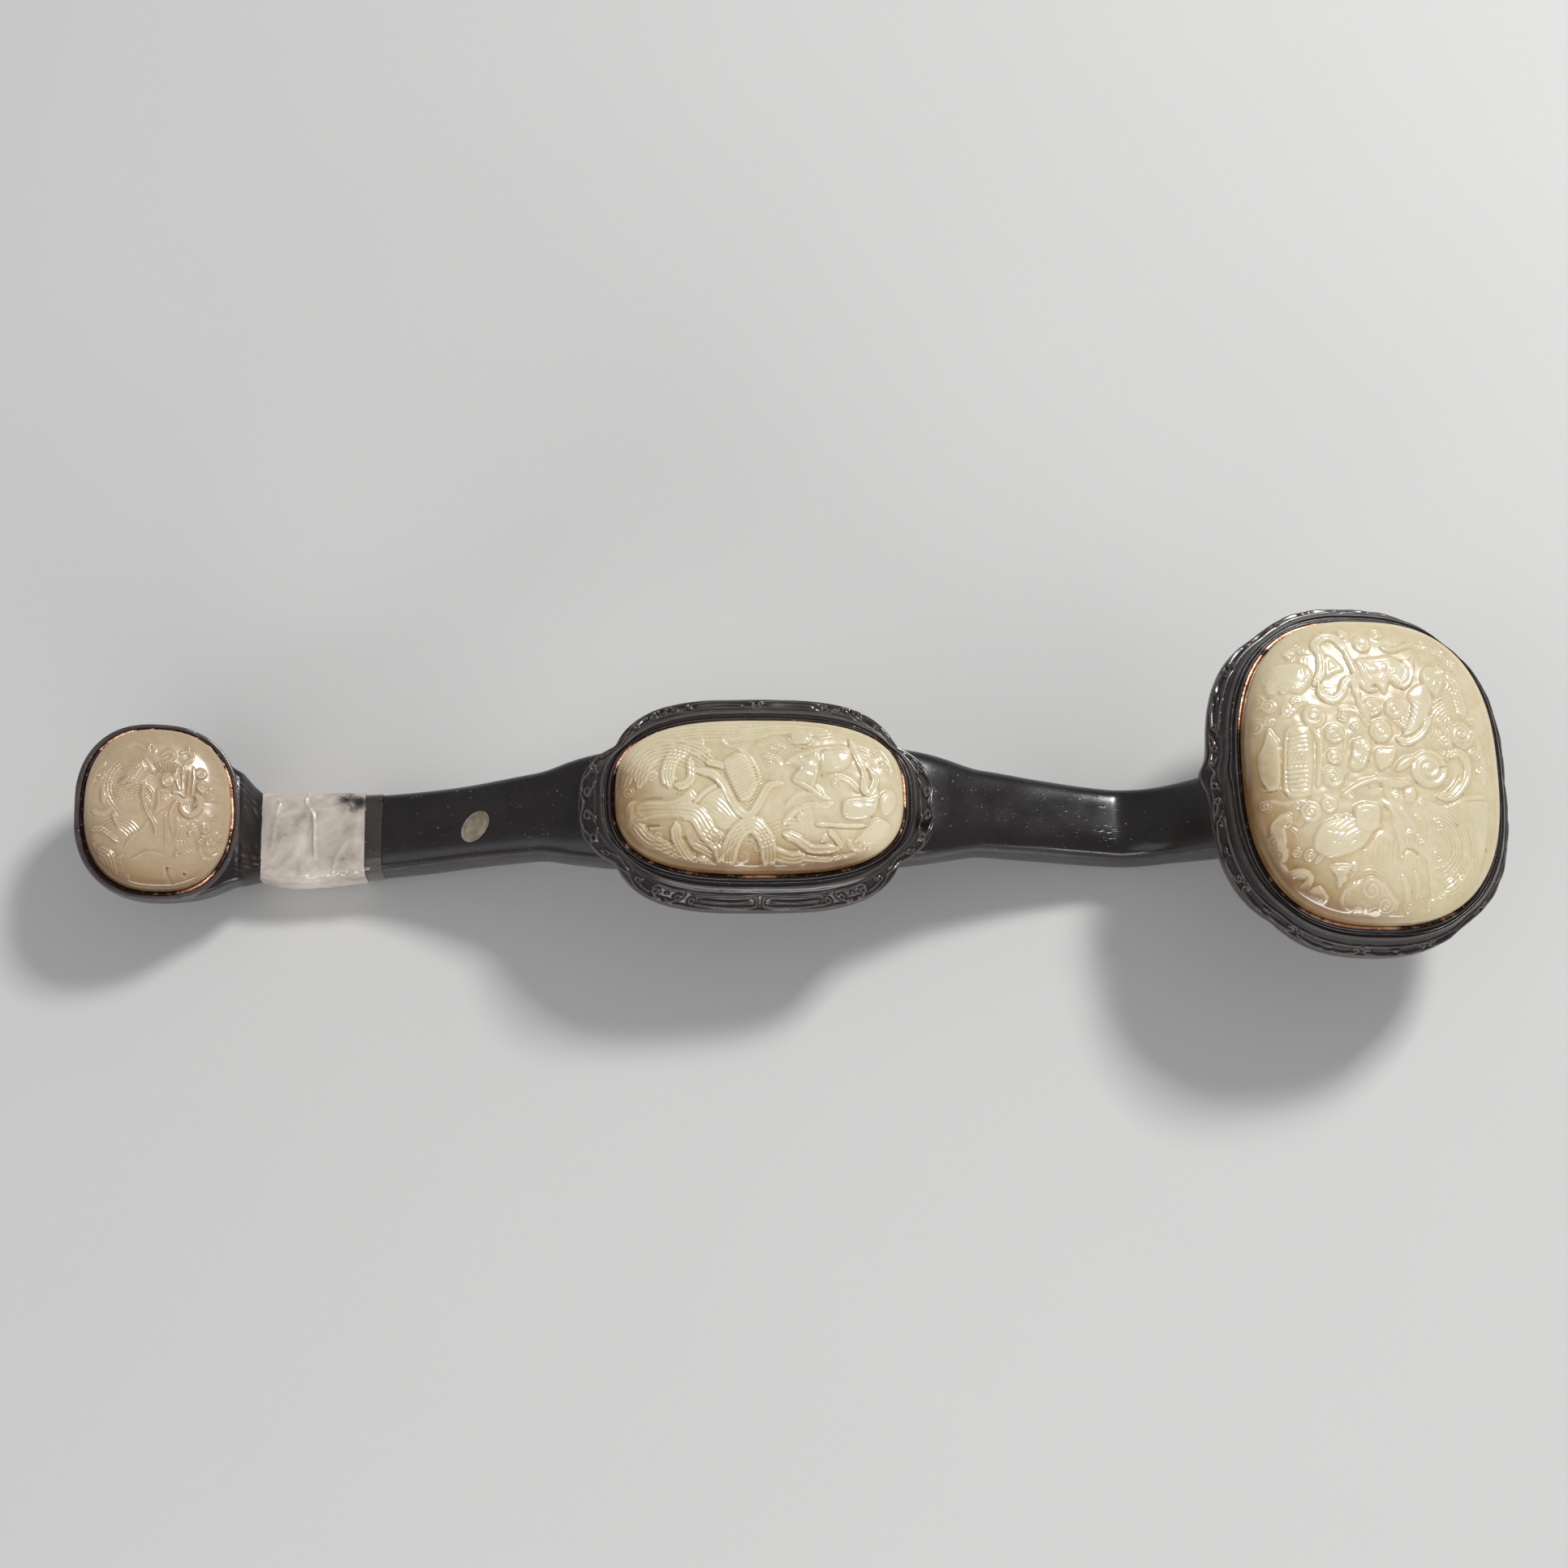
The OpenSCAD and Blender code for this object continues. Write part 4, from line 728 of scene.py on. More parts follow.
# Finer strokes between the motifs, in millimetres along and across the plaque
headCarving = [
    ("rings", 13.7, -28.1, 6.5, 19.0, -80, 75, 1.25, 0.15),
    ("rings", 27.5, 12.5, 3.8, 12.5, 95, 265, 1.2, 0.15),
    ("rings", 17.3, -1.3, 7.4, 12.5, -75, 70, 1.25, 0.13),
    ("rings", -36.4, -27.4, 4.6, 8.6, -70, 80, 1.15, 0.12),
    ("rings", -16.0, 33.0, 5.5, 10.5, 150, 280, 1.2, 0.11),
    ("rings", 20.5, 30.0, 4.0, 10.5, -40, 80, 1.2, 0.13),
    ("rings", -6.4, -43.5, 5.2, 9.5, 30, 160, 1.2, 0.12),
    ("hatch", -13.5, -24.5, 9, 7, 38, 1.5, 0.07, 0.02),
    ("hatch", 14.5, 19.5, 4.5, 9, -60, 1.25, 0.1, 0.02),
    ("hatch", 5.5, -31.0, 6, 14, 84, 1.7, 0.06, 0.01),
    *(("curl", *small) for small in [
        (-31.5, 17.5, 2.6, 0.45, 1, 0), (-28.5, 20.8, 2.0, 0.4, -1, 1),
        (-12.5, 15.6, 2.4, 0.45, -1, 2), (-9.0, 12.4, 1.9, 0.4, 1, 0),
        (8.6, 14.6, 2.0, 0.4, 1, 1), (22.6, 8.0, 2.2, 0.4, -1, 0), (33.8, 4.4, 2.6, 0.4, 1, 2),
        (35.4, -2.0, 2.2, 0.35, -1, 1),
        (32.8, 16.8, 2.4, 0.35, 1, 0), (24.0, 40.0, 2.6, 0.35, -1, 0), (18.4, 42.6, 2.0, 0.35, 1, 1),
        (28.4, 36.4, 2.0, 0.3, 1, 2),
        (-24.4, 39.6, 2.6, 0.4, 1, 1), (-28.8, 37.2, 2.0, 0.35, -1, 0),
        (-12.6, -11.2, 1.9, 0.5, 1, 0), (-30.0, -14.8, 2.2, 0.4, 1, 2),
        (-40.2, -14.6, 2.2, 0.35, -1, 0), (-31.2, -30.6, 2.0, 0.5, 1, 1),
        (-11.8, -35.4, 1.8, 0.45, -1, 2), (7.2, -47.8, 2.4, 0.35, -1, 1),
        (10.4, -43.4, 1.9, 0.35, 1, 0), (21.6, -5.6, 1.8, 0.4, 1, 2), (-4.6, 14.9, 1.8, 0.4, -1, 1),
        (-35.6, 4.0, 1.6, 1.1, 1, 0),
    ]),
    ("ribbon", [(-34.0, 15.4), (-30.2, 17.0), (-27.8, 19.4), (-24.6, 20.6)], 2.4, 0.35, 3),
    ("ribbon", [(-13.6, 18.0), (-9.8, 18.4), (-6.2, 16.8), (-4.4, 12.8)], 2.4, 0.35, 3),
    ("ribbon", [(5.8, 14.6), (8.8, 12.4), (9.6, 9.0)], 2.2, 0.35, 2),
    ("ribbon", [(21.0, 15.4), (23.4, 11.0), (24.2, 6.0), (22.4, 1.6)], 2.6, 0.4, 3),
    ("ribbon", [(33.2, 12.6), (35.6, 7.0), (36.4, 0.6), (35.8, -6.4)], 2.4, 0.3, 3),
    ("ribbon", [(14.6, 41.6), (20.0, 41.2), (25.4, 38.4), (29.8, 33.6)], 2.8, 0.3, 3),
    ("ribbon", [(-30.6, 38.0), (-26.0, 39.6), (-21.6, 38.2)], 2.6, 0.35, 3),
    ("ribbon", [(-38.6, -13.0), (-34.4, -14.2), (-29.4, -13.4), (-26.6, -14.4)], 2.2, 0.35, 2),
    ("ribbon", [(-25.2, -34.2), (-22.6, -30.6), (-23.2, -26.0)], 2.2, 0.5, 3),
    ("ribbon", [(4.4, -37.8), (6.0, -42.0), (6.2, -46.4)], 2.4, 0.35, 3),
    ("ribbon", [(8.8, -36.4), (9.8, -41.0), (9.4, -45.6)], 2.0, 0.35, 2),
    ("line", [(-22.0, -0.4), (-20.8, 6.0), (-21.2, 12.0)], 0.45, 0.3),
    ("line", [(-13.0, 3.8), (-12.4, 7.4), (-10.6, 10.2)], 0.45, 0.35),
    ("line", [(-34.2, -21.0), (-30.0, -22.4), (-27.4, -20.2)], 0.45, -0.3),
    ("line", [(-0.8, -12.6), (3.0, -17.8), (5.6, -23.2), (6.6, -28.0)], 0.5, 0.28),
    ("line", [(4.8, -15.2), (8.0, -19.6), (9.4, -22.2)], 0.4, 0.28),
    ("line", [(13.2, -16.6), (14.6, -21.4), (14.0, -27.2)], 0.4, 0.28),
    ("line", [(-20.2, -26.6), (-14.0, -27.2), (-8.0, -24.6)], 0.45, -0.22),
    ("line", [(-21.4, -23.2), (-15.0, -23.8), (-9.8, -21.8)], 0.45, -0.2),
    ("line", [(-9.6, -16.6), (-6.4, -16.0), (-3.8, -17.2)], 0.35, -0.3),
]
midCarving = [
    *(("curl", *small) for small in [
        (-36.6, 5.4, 2.2, 0.45, 1, 0), (-18.6, 17.2, 1.8, 0.4, -1, 1), (4.4, 15.6, 2.2, 0.35, 1, 2),
        (2.6, 9.4, 1.9, 0.35, -1, 0),
        (24.6, 2.4, 2.0, 0.45, 1, 1), (41.6, 9.4, 2.2, 0.35, -1, 0), (38.6, 13.6, 1.9, 0.35, 1, 0),
        (12.6, -9.4, 1.8, 0.4, 1, 1),
        (20.6, -16.6, 1.7, 0.5, -1, 2), (-34.6, -15.0, 1.8, 0.5, 1, 0),
        (29.8, -22.6, 1.8, 0.35, 1, 1), (-1.6, -19.6, 1.8, 0.4, -1, 0),
    ]),
    ("ribbon", [(-44.4, 6.6), (-40.2, 13.6), (-33.4, 17.0), (-25.0, 18.0)], 2.2, 0.5, 3),
    ("ribbon", [(-1.6, 15.6), (3.6, 16.8), (8.0, 15.0)], 2.2, 0.35, 3),
    ("ribbon", [(0.6, 11.6), (4.6, 11.2), (7.0, 8.2)], 2.0, 0.35, 2),
    ("ribbon", [(22.0, 4.4), (25.6, 4.6), (29.6, 3.0), (32.4, -0.4)], 2.2, 0.4, 3),
    ("ribbon", [(40.2, 15.0), (42.8, 11.0), (44.2, 5.4)], 2.4, 0.35, 3),
    ("ribbon", [(-17.0, -2.0), (-13.6, -4.6), (-11.8, -8.4), (-13.8, -11.6)], 2.0, 0.5, 2),
    ("ribbon", [(8.0, -5.2), (12.0, -1.6), (17.0, -1.4), (22.4, -3.2)], 2.0, 0.35, 2),
    ("line", [(-41.0, -6.6), (-34.0, -6.4), (-27.4, -6.8), (-23.6, -7.6)], 0.45, -0.28),
    ("line", [(11.4, 8.8), (14.0, 6.2), (17.0, 4.6)], 0.45, 0.32),
    ("line", [(12.8, 11.2), (15.6, 8.8), (18.8, 8.0)], 0.4, 0.32),
    ("line", [(28.2, -4.6), (32.8, -4.2), (37.8, -4.8)], 0.4, -0.28),
    ("rings", -30.5, -2.0, 9.0, 20.5, 35, 165, 1.3, 0.15),
    ("rings", -5.2, -24.5, 5.5, 13.0, 25, 155, 1.25, 0.15),
    ("rings", -33.0, -8.0, 8.0, 15.0, 190, 300, 1.25, 0.14),
    ("rings", 36.5, -7.5, 8.0, 12.0, -120, 40, 1.25, 0.13),
    ("rings", 31.5, 6.0, 5.5, 11.0, 10, 120, 1.25, 0.12),
    ("rings", 13.0, 4.0, 8.0, 13.5, 60, 150, 1.25, 0.1),
    ("hatch", 5.0, -12.5, 8, 3, 18, 1.3, 0.12, 0.02),
    ("hatch", -15.0, -6.5, 6, 5, -42, 1.4, 0.08, 0.02),
]
tailCarving = [
    ("rings", -6.0, 6.0, 9.0, 13.5, 120, 235, 1.15, 0.13),
    ("rings", 14.0, -11.0, 3.6, 9.0, 100, 260, 1.1, 0.11),
    ("rings", -14.0, -14.0, 3.4, 10.0, 20, 150, 1.15, 0.13),
    ("curl", 18.6, -4.2, 1.8, 0.4, -1, 0), ("curl", 9.6, 20.8, 1.9, 0.35, 1, 0),
    ("curl", -12.6, -19.4, 1.9, 0.4, 1, 2),
    ("curl", -19.6, 9.8, 1.9, 0.45, -1, 1), ("curl", 6.4, -16.8, 1.6, 0.35, 1, 0),
    ("curl", 20.4, -13.0, 1.7, 0.35, -1, 2),
    ("ribbon", [(-12.0, 20.0), (-8.4, 21.4), (-5.2, 19.4)], 1.9, 0.35, 2),
    ("ribbon", [(-3.6, -5.6), (-5.2, -9.0), (-8.6, -11.6), (-10.8, -15.2)], 1.9, 0.35, 2),
    ("ribbon", [(5.6, -4.2), (6.4, -8.0), (5.8, -12.4), (7.6, -16.4)], 1.7, 0.35, 2),
]
plaqueSpecs = {
    "headJade": {
        "seat": headSeat, "columns": 280, "rows": 332, "depth": 0.95, "shadedThinRim": (-0.72, -0.55),
        "crop": cropSpec["head"], "picks": headPicks, "carving": headCarving,
    },
    "midJade": {
        "seat": midSeat, "columns": 396, "rows": 232, "depth": 0.95, "shadedThinRim": (-1.25, -1.75),
        "crop": cropSpec["mid"], "picks": midPicks, "carving": midCarving,
    },
    "tailJade": {
        "seat": tailSeat, "columns": 280, "rows": 300, "depth": 1.05, "shadedThinRim": (-0.3, -0.95),
        "crop": cropSpec["tail"], "picks": tailPicks, "carving": tailCarving,
    },
}


def domeRun(seat, count=500):
    # the plaque's profile from rim to crown: share of the outline and height, evenly spaced
    t = np.linspace(0, math.pi / 2, count)
    share = np.append(0.02 + 0.98 * np.cos(t) ** 0.55, 0)
    height = np.append(seat["dome"] * (0.16 + 0.84 * np.sin(t) ** 0.8), seat["dome"])
    size = (seat["long"] + seat["wide"]) / 4
    run = np.concatenate([[0], np.cumsum(np.hypot(np.diff(share) * size, np.diff(height)))])
    return run / run[-1], share, height


def pickedAt(seat, crop, x, y):
    # where a point of the crop lies on the plaque's dome, to a tenth of a millimetre
    left, top, enlarged = crop
    middle = cameraSpec["photo"] / 2
    pixels = cameraSpec["lens"] / cameraSpec["sensor"] * cameraSpec["photo"]
    right, up, back = cameraAxes.T
    x, y = left + x / enlarged - middle, top + y / enlarged - middle
    ray = x / pixels * right - y / pixels * up - back
    lean = math.radians(seat["tilt"])
    along = np.array([math.cos(lean), 0, -math.sin(lean)])
    out = np.array([math.sin(lean), 0, math.cos(lean)])
    away = np.array(seat["at"]) - np.array(cameraSpec["place"]) / mm
    run, share, height = domeRun(seat, 400)
    p = seat["square"]
    h = seat["dome"] * 0.8
    # the height is only known once the place is, so the two are found in turns
    for turn in range(12):
        spot = ray * (away @ out + h) / (ray @ out) - away
        u, v = spot @ along, spot[1]
        reach = ((abs(u) / (seat["long"] / 2)) ** p + (abs(v) / (seat["wide"] / 2)) ** p) ** (1 / p)
        h = np.interp(reach, share[::-1], height[::-1])
    return round(float(u), 1), round(float(v), 1)


def placed(seat, crop, picks):
    motifs = []
    for kind, *values in picks:
        if cutters[kind][1]:
            path = [pickedAt(seat, crop, x, y) for x, y in values[0]]
            motifs.append((kind, path, *values[1:]))
        else:
            motifs.append((kind, *pickedAt(seat, crop, *values[:2]), *values[2:]))
    return motifs


def makePlaque(name, spec):
    seat = spec["seat"]
    columns, rows = spec["columns"], spec["rows"]
    clearSelection()
    bpy.ops.mesh.primitive_grid_add(x_subdivisions=columns, y_subdivisions=rows, size=2)
    piece = named(bpy.context.object, name)
    flat = readPoints(piece)
    column = np.rint((flat[:, 0] + 1) / 2 * columns).astype(int)
    row = np.rint((flat[:, 1] + 1) / 2 * rows).astype(int)
    x, y = np.meshgrid(np.linspace(-1, 1, columns + 1), np.linspace(-1, 1, rows + 1))
    rim = np.maximum(np.abs(x), np.abs(y))
    turn = np.arctan2(y * seat["wide"], x * seat["long"])
    run, share, height = domeRun(seat)
    s = np.interp(1 - rim, run, share)
    h = np.interp(1 - rim, run, height)
    r = reachOf(seat, turn) * s
    u, v = r * np.cos(turn), r * np.sin(turn)
    points = onSeat(seat, u, v, h)
    normal = rowNormals(points.transpose(1, 0, 2), wrapped=False).transpose(1, 0, 2)
    # tall forms are held back softly, as the stone was worn and polished
    motifs = placed(seat, spec["crop"], spec["picks"]) + spec["carving"]
    cut = carve(u, v, motifs) * spec["depth"]
    cut = np.where(cut > 0, 1.7 * np.tanh(cut / 1.7), cut)
    ground = 0.17 * ripple(u, v, 8, 3) + 0.07 * ripple(u, v, 3.4, 5)
    fade = smoothStep(0.975, 0.90, s)
    relief = (cut + ground - 0.38) * fade
    points = points + normal * relief[..., None]
    writePoints(piece, inBox(points)[row, column])
    low = blur(relief, 3)
    wide = blur(relief, 12)
    hollow = np.clip((low - relief) / 0.2, 0, 1) * 0.6 + np.clip((wide - relief) / 0.6, 0, 1) * 0.6
    writeMask(piece, "hollow", np.clip(hollow, 0, 1)[row, column])
    writeMask(piece, "crest", np.clip((relief - low) / 0.16, 0, 1)[row, column])
    writeMask(piece, "rim", smoothStep(0.86, 1.0, s)[row, column])
    # painted shade, partly real: the stone is coloured golden on the rim away from the light, where it is
    # thin and shaded
    away = (u / seat["long"] * spec["shadedThinRim"][0] + v / seat["wide"] * spec["shadedThinRim"][1]) * 2
    writeMask(
        piece, "shadedThinRim",
        (smoothStep(0.15, 0.95, away * s**0.5) * smoothStep(0.45, 0.98, s))[row, column],
    )
    # the straight wall and a closed bottom
    lean = math.radians(seat["tilt"])
    down = -np.array([math.sin(lean), 0, math.cos(lean)]) * (0.16 * seat["dome"] + seating["sink"]) * mm
    bpy.ops.object.mode_set(mode="EDIT")
    bpy.ops.mesh.select_all(action="DESELECT")
    bpy.ops.mesh.select_mode(type="EDGE")
    bpy.ops.mesh.select_non_manifold(
        extend=False, use_wire=False, use_multi_face=False, use_non_contiguous=False, use_verts=False,
    )
    bpy.ops.mesh.extrude_region_move(TRANSFORM_OT_translate={"value": tuple(down)})
    bpy.ops.mesh.extrude_region_move(TRANSFORM_OT_translate={"value": (0, 0, 0)})
    bpy.ops.mesh.merge(type="CENTER")
    bpy.ops.object.mode_set(mode="OBJECT")
    smooth(piece, 50)
    return piece


jadePieces = {}
for name, spec in plaqueSpecs.items():
    jadePieces[name] = makePlaque(name, spec)
    print("carved", name, len(jadePieces[name].data.polygons), "faces")


# Carved mounts: rings from the floor of the seat over the border and round to the back
def curlPath(x, y, r, start, hand, turns=1.15, tail=()):
    a = np.linspace(0, 1, 12)
    angle = math.radians(start) - hand * full * turns * a[::-1]
    size = r * (1 - 0.75 * a[::-1])
    curl = np.stack([x + size * np.cos(angle), y + size * np.sin(angle)], axis=1)
    return [tuple(p) for p in curl] + list(tail)


def scrollUnit(at, size, width, height):
    # a long open loop with a comma curl at each end and a bead between
    m = width * 0.5
    top, low = width * 0.86, width * 0.16
    return [
        (
            "line",
            curlPath(at + 2.2, m, 1.3, 90, -1, tail=[(at + size * 0.3, top), (at + size * 0.47, top - 0.2)]),
            0.5, height,
        ),
        (
            "line",
            curlPath(at + size - 2.2, m, 1.3, 90, 1, tail=[
                (at + size * 0.72, top), (at + size * 0.56, top - 0.4),
            ]),
            0.5, height,
        ),
        ("line", [
            (at + 0.4, m), (at + 1.2, low), (at + size * 0.5, low - 0.1), (at + size - 1.2, low),
            (at + size - 0.4, m),
        ], 0.46, height),
        ("pad", [
            (at + size * 0.42, m - 0.5), (at + size * 0.5, m - 1.0), (at + size * 0.58, m - 0.3),
            (at + size * 0.5, m + 0.5),
        ], 0.5, height * 1.1, 0.2),
    ]


def headBorder(half, width):
    motifs = [
        ("line", [(0, 0.3), (half * 0.5, 0.3), (half + 9, 0.3)], 0.34, 0.35),
        ("line", [(17, width - 0.4), (half * 0.5, width - 0.35), (half + 9, width - 0.4)], 0.5, 0.55),
        ("line", [
            (-5, 1.9), (0, 0.9), (2.4, 2.4), (4.8, 3.6), (8.6, 4.0), (12, 4.6), (17, width - 0.4),
        ], 0.48, 0.6),
        ("line", curlPath(4.6, 1.9, 1.2, 200, 1, tail=[(6.6, 1.0)]), 0.46, 0.6),
        ("line", curlPath(9.8, 2.3, 1.3, 20, -1, tail=[(13, 3.2), (14.6, 4.4)]), 0.46, 0.6),
        ("line", [(13.4, 0.9), (15.4, 1.6), (15.8, 2.8)], 0.44, 0.55),
    ]
    size = (half - 15.5) / 7
    for i in range(7):
        motifs += scrollUnit(15.5 + i * size, size, width, 0.6)
    return motifs


def midBorder(half, width):
    # the end lobes: three bulges and paired curls, then loops along the side
    motifs = [
        ("line", [(-9, 0.3), (half * 0.5, 0.3), (half + 9, 0.3)], 0.34, 0.35),
        ("line", [
            (-5, width - 0.8), (0, width - 1.6), (5.2, width - 0.4), (9, width - 0.7),
            (12, width - 2.4), (15, width - 0.6),
            (20, width - 0.4), (26, width - 0.9), (31, width - 2.8),
        ], 0.52, 0.65),
        ("line", [
            (31, width - 2.8), (34, width - 1.2), (40, width - 0.4), (half * 0.75, width - 0.35),
            (half + 8, width - 0.4),
        ], 0.5, 0.55),
        (
            "line",
            curlPath(4.4, width * 0.5, 1.6, 180, 1, tail=[(5.4, width * 0.16), (8.2, width * 0.13)]),
            0.55, 0.65,
        ),
        (
            "line",
            curlPath(12.8, width * 0.46, 1.5, 20, -1, tail=[(11.4, width * 0.16), (9.6, width * 0.13)]),
            0.55, 0.65,
        ),
        (
            "line",
            curlPath(20.0, width * 0.5, 1.6, 150, 1, tail=[
                (23.2, width * 0.2), (27.4, width * 0.26), (30, width * 0.5),
            ]),
            0.55, 0.65,
        ),
        (
            "line",
            curlPath(34.8, width * 0.42, 1.2, 60, -1, tail=[(38, width * 0.7), (41, width * 0.74)]),
            0.48, 0.55,
        ),
    ]
    motifs += scrollUnit(40, 12, width, 0.6)
    size = half - 53.5
    motifs += [
        ("line", [
            (half - 1.6, 1.2), (half - 1.2, width * 0.5), (half - 2.4, width - 1.5),
            (half - size * 0.5, width - 1.3), (half - size + 2, width - 1.7),
        ], 0.5, 0.62),
        ("line", [(half - 1.6, 1.2), (half - size * 0.45, 1.0), (half - size + 1, 1.3)], 0.5, 0.6),
        ("line", [
            (half - 4, width * 0.5), (half - size * 0.45, width * 0.56),
            (half - size + 4, width * 0.5),
        ], 0.6, 0.5),
        ("line", curlPath(half - size + 1.8, width * 0.55, 1.25, 60, -1), 0.48, 0.6),
    ]
    return motifs


mountSpecs = {
    "headMount": {
        "seat": headSeat, "drop": 10.0, "border": headBorder, "folds": 1, "relief": 2.0,
        # share of the border and drop: lip, hollow, ridge, smooth band
        "lip": [
            (0, 0.1), (0.03, -0.1), (0.085, 0.0), (0.12, 0.75), (0.17, 1.3), (0.25, 1.4), (0.3, 1.0),
            (0.335, 0.92), (0.365, 1.5), (0.42, 2.3), (0.5, 3.1), (0.56, 3.8), (0.585, 4.35),
        ],
        "band": [(0.6, 4.4), (0.95, 9.2)],
        "under": [
            (1, 1.6), (0.97, 2.8), (0.9, 5.6), (0.82, 7.8), (0.74, 10), (0.62, 12), (0.5, 13.6),
            (0.34, 14.6), (0.2, 15),
        ],
    },
    "midMount": {
        "seat": midSeat, "drop": 9.0, "border": midBorder, "folds": 2, "relief": 1.9,
        "lip": [
            (0, 0.1), (0.025, -0.1), (0.07, 0.0), (0.1, 0.8), (0.14, 1.5), (0.22, 1.75), (0.27, 1.35),
            (0.3, 1.25), (0.33, 1.7), (0.38, 2.2), (0.44, 2.7), (0.47, 3.1),
        ],
        "band": [(0.485, 3.2), (0.965, 8.3)],
        "under": [(1, 1.6), (0.93, 3.0), (0.86, 6.1), (0.79, 9.4), (0.72, 12), (0.61, 14.3), (0.5, 16)],
    },
}


def outlineOf(name, turn):
    if name == "headMount":
        outer = np.maximum(squareReach(47.9, 60.9, 2.5, turn), squareReach(52.9, 54.9, 2.9, turn))
        away = np.degrees(np.abs(np.angle(np.exp(1j * (turn - math.pi)))))
        return outer + 3 * np.exp(-((away / 5) ** 2))
    return np.maximum(squareReach(50.5, 37.25, 3.2, turn), squareReach(60.5, 25.5, 3.0, turn))


def makeMount(name, spec, segments=1040):
    seat = spec["seat"]
    grow = 10 if name == "midMount" else 8.6
    t = np.arange(segments) / segments * full
    turn = np.arctan2((seat["wide"] / 2 + grow) * np.sin(t), (seat["long"] / 2 + grow) * np.cos(t))
    inner, outer = reachOf(seat, turn, seating["lip"]), outlineOf(name, turn)
    outer = blur(outer, 3, axes=(0,), wrapped=(0,))

    def sample(knots, count):
        knots = np.array(knots, float)
        run = np.concatenate([[0], np.cumsum(np.hypot(np.diff(knots[:, 0]) * 8, np.diff(knots[:, 1])))])
        at = np.linspace(0, run[-1], count)
        return [(np.interp(q, run, knots[:, 0]), np.interp(q, run, knots[:, 1])) for q in at]

    rows = [inner * 0, inner * 0.5, inner - 1.3, inner - 1.2, inner - 0.02]
    drops = [4.4, 4.4, 4.4, 2.3, 2.2]
    lipRows = 22
    for share, drop in sample(spec["lip"], lipRows):
        rows.append(inner + (outer - inner) * share)
        drops.append(drop)
    first = len(rows)
    band = sample(spec["band"], 38)
    for share, drop in band:
        rows.append(inner + (outer - inner) * share)
        drops.append(drop)
    last = len(rows)
    drop = spec["drop"]
    for share, extra in [(0.975, -0.45), (0.992, -0.1), (1, 0.35), (1.0, 0.9)]:
        rows.append(inner + (outer - inner) * share)
        drops.append(drop + extra)
    for scale, extra in sample(spec["under"], 12):
        rows.append(outer * scale)
        drops.append(drop + extra)
    rows.append(outer * 0)
    drops.append(drops[-1])
    r = np.array(rows)
    h = -np.array(drops)[:, None] + np.zeros_like(r)
    u, v = r * np.cos(turn), r * np.sin(turn)
    points = onSeat(seat, u, v, h)
    normal = rowNormals(points)
    # border coordinates: distance from the cusp, folded at the axes, and distance across the band
    ring = points[last - 1]
    length = np.linalg.norm(np.roll(ring, -1, axis=0) - ring, axis=1)
    run = np.concatenate([[0], np.cumsum(length)])[:-1]
    total = length.sum()
    start = np.interp(math.pi, np.unwrap(turn), run)
    fold = total / spec["folds"]
    a = np.abs((run - start + fold / 2) % fold - fold / 2)
    across = np.linalg.norm(np.diff(points[first:last], axis=0), axis=2).mean(axis=1)
    across = np.concatenate([[0], np.cumsum(across)])
    bandU, bandV = np.meshgrid(a, across)
    relief = np.zeros_like(r)
    cut = carve(bandU, bandV, spec["border"](fold / 2, across[-1]))
    relief[first:last] = 1.2 * np.tanh(cut * spec["relief"] / 1.2) - 0.5
    edge = np.concatenate([np.zeros(first), np.ones(last - first), np.zeros(len(rows) - last)])
    relief = relief * np.minimum(1, blur(edge, 1, axes=(0,)) * 1.2)[:, None]
    handWork = (
        0.09 * ripple(points[..., 0], points[..., 1], 17, 11)
        + 0.04 * ripple(points[..., 0], points[..., 1], 5, 12)
    )
    relief = relief + handWork * (np.arange(len(rows)) > 6)[:, None]
    points = inBox(points + normal * relief[..., None])
    # crest marks the carving's ridges and hollow its recesses; through the finish the ridges take a painted
    # highlight, partly real wear, and the recesses a painted shade
    low = blur(relief, 3, wrapped=(1,))
    hollow = np.clip((low - relief) / 0.14, 0, 1)
    crest = np.clip((relief - low) / 0.12, 0, 1)
    depth = np.array(drops)[:, None] + np.zeros_like(r)
    # painted highlight lines along the lip and the outer edge, lightened through the crest mask
    rim = np.zeros_like(r)
    for i, share in enumerate(np.linspace(0, 1, lipRows)):
        rim[5 + i] = math.exp(-(((share - 0.62) / 0.1) ** 2)) + math.exp(-((share / 0.12) ** 2))
    rim[last:last + 4] = 0.8
    shell = shapeBall(name, points, hollow=hollow, crest=np.maximum(crest, rim * 0.8), depth=depth)
    smooth(shell, 60)
    return shell


woodPieces = {}
for name, spec in mountSpecs.items():
    woodPieces[name] = makeMount(name, spec)
    print("carved", name, len(woodPieces[name].data.polygons), "faces")


# Shaft lengths: sections run along X, the poles close both ends
def woodRun(name, x, segments=160, unevenness=0.1, seed=1):
    turn = np.arange(segments) / segments * full
    rows = shaftRows(x, turn)
    normal = -rowNormals(rows)
    wobble = unevenness * ripple(rows[..., 0] * 0.5, rows[..., 1] + rows[..., 2], 14, seed)
    ends = smoothStep(0, 6, np.minimum(x - x[0], x[-1] - x))[:, None]
    rows = rows + normal * (wobble * ends)[..., None]
    rows[..., 2] = np.maximum(rows[..., 2], 0)
    closed = capped(rows)
    worn = np.zeros(closed.shape[:2])
    edge = np.clip(1 - np.abs(np.abs(np.cos(turn)) - 0.93) / 0.07, 0, 1) * (np.sin(turn) > -0.6)
    worn[:] = edge * 0.6
    return shapeBall(name, closed[::-1], crest=worn[::-1], hollow=worn * 0)


tailCup = {
    "long": 27.9, "wide": 31.1, "wall": 5.0, "deep": 21.0, "flare": 5.6, "flareRun": 8.6,
    "corner": 9.0, "overlap": 0.35,
}


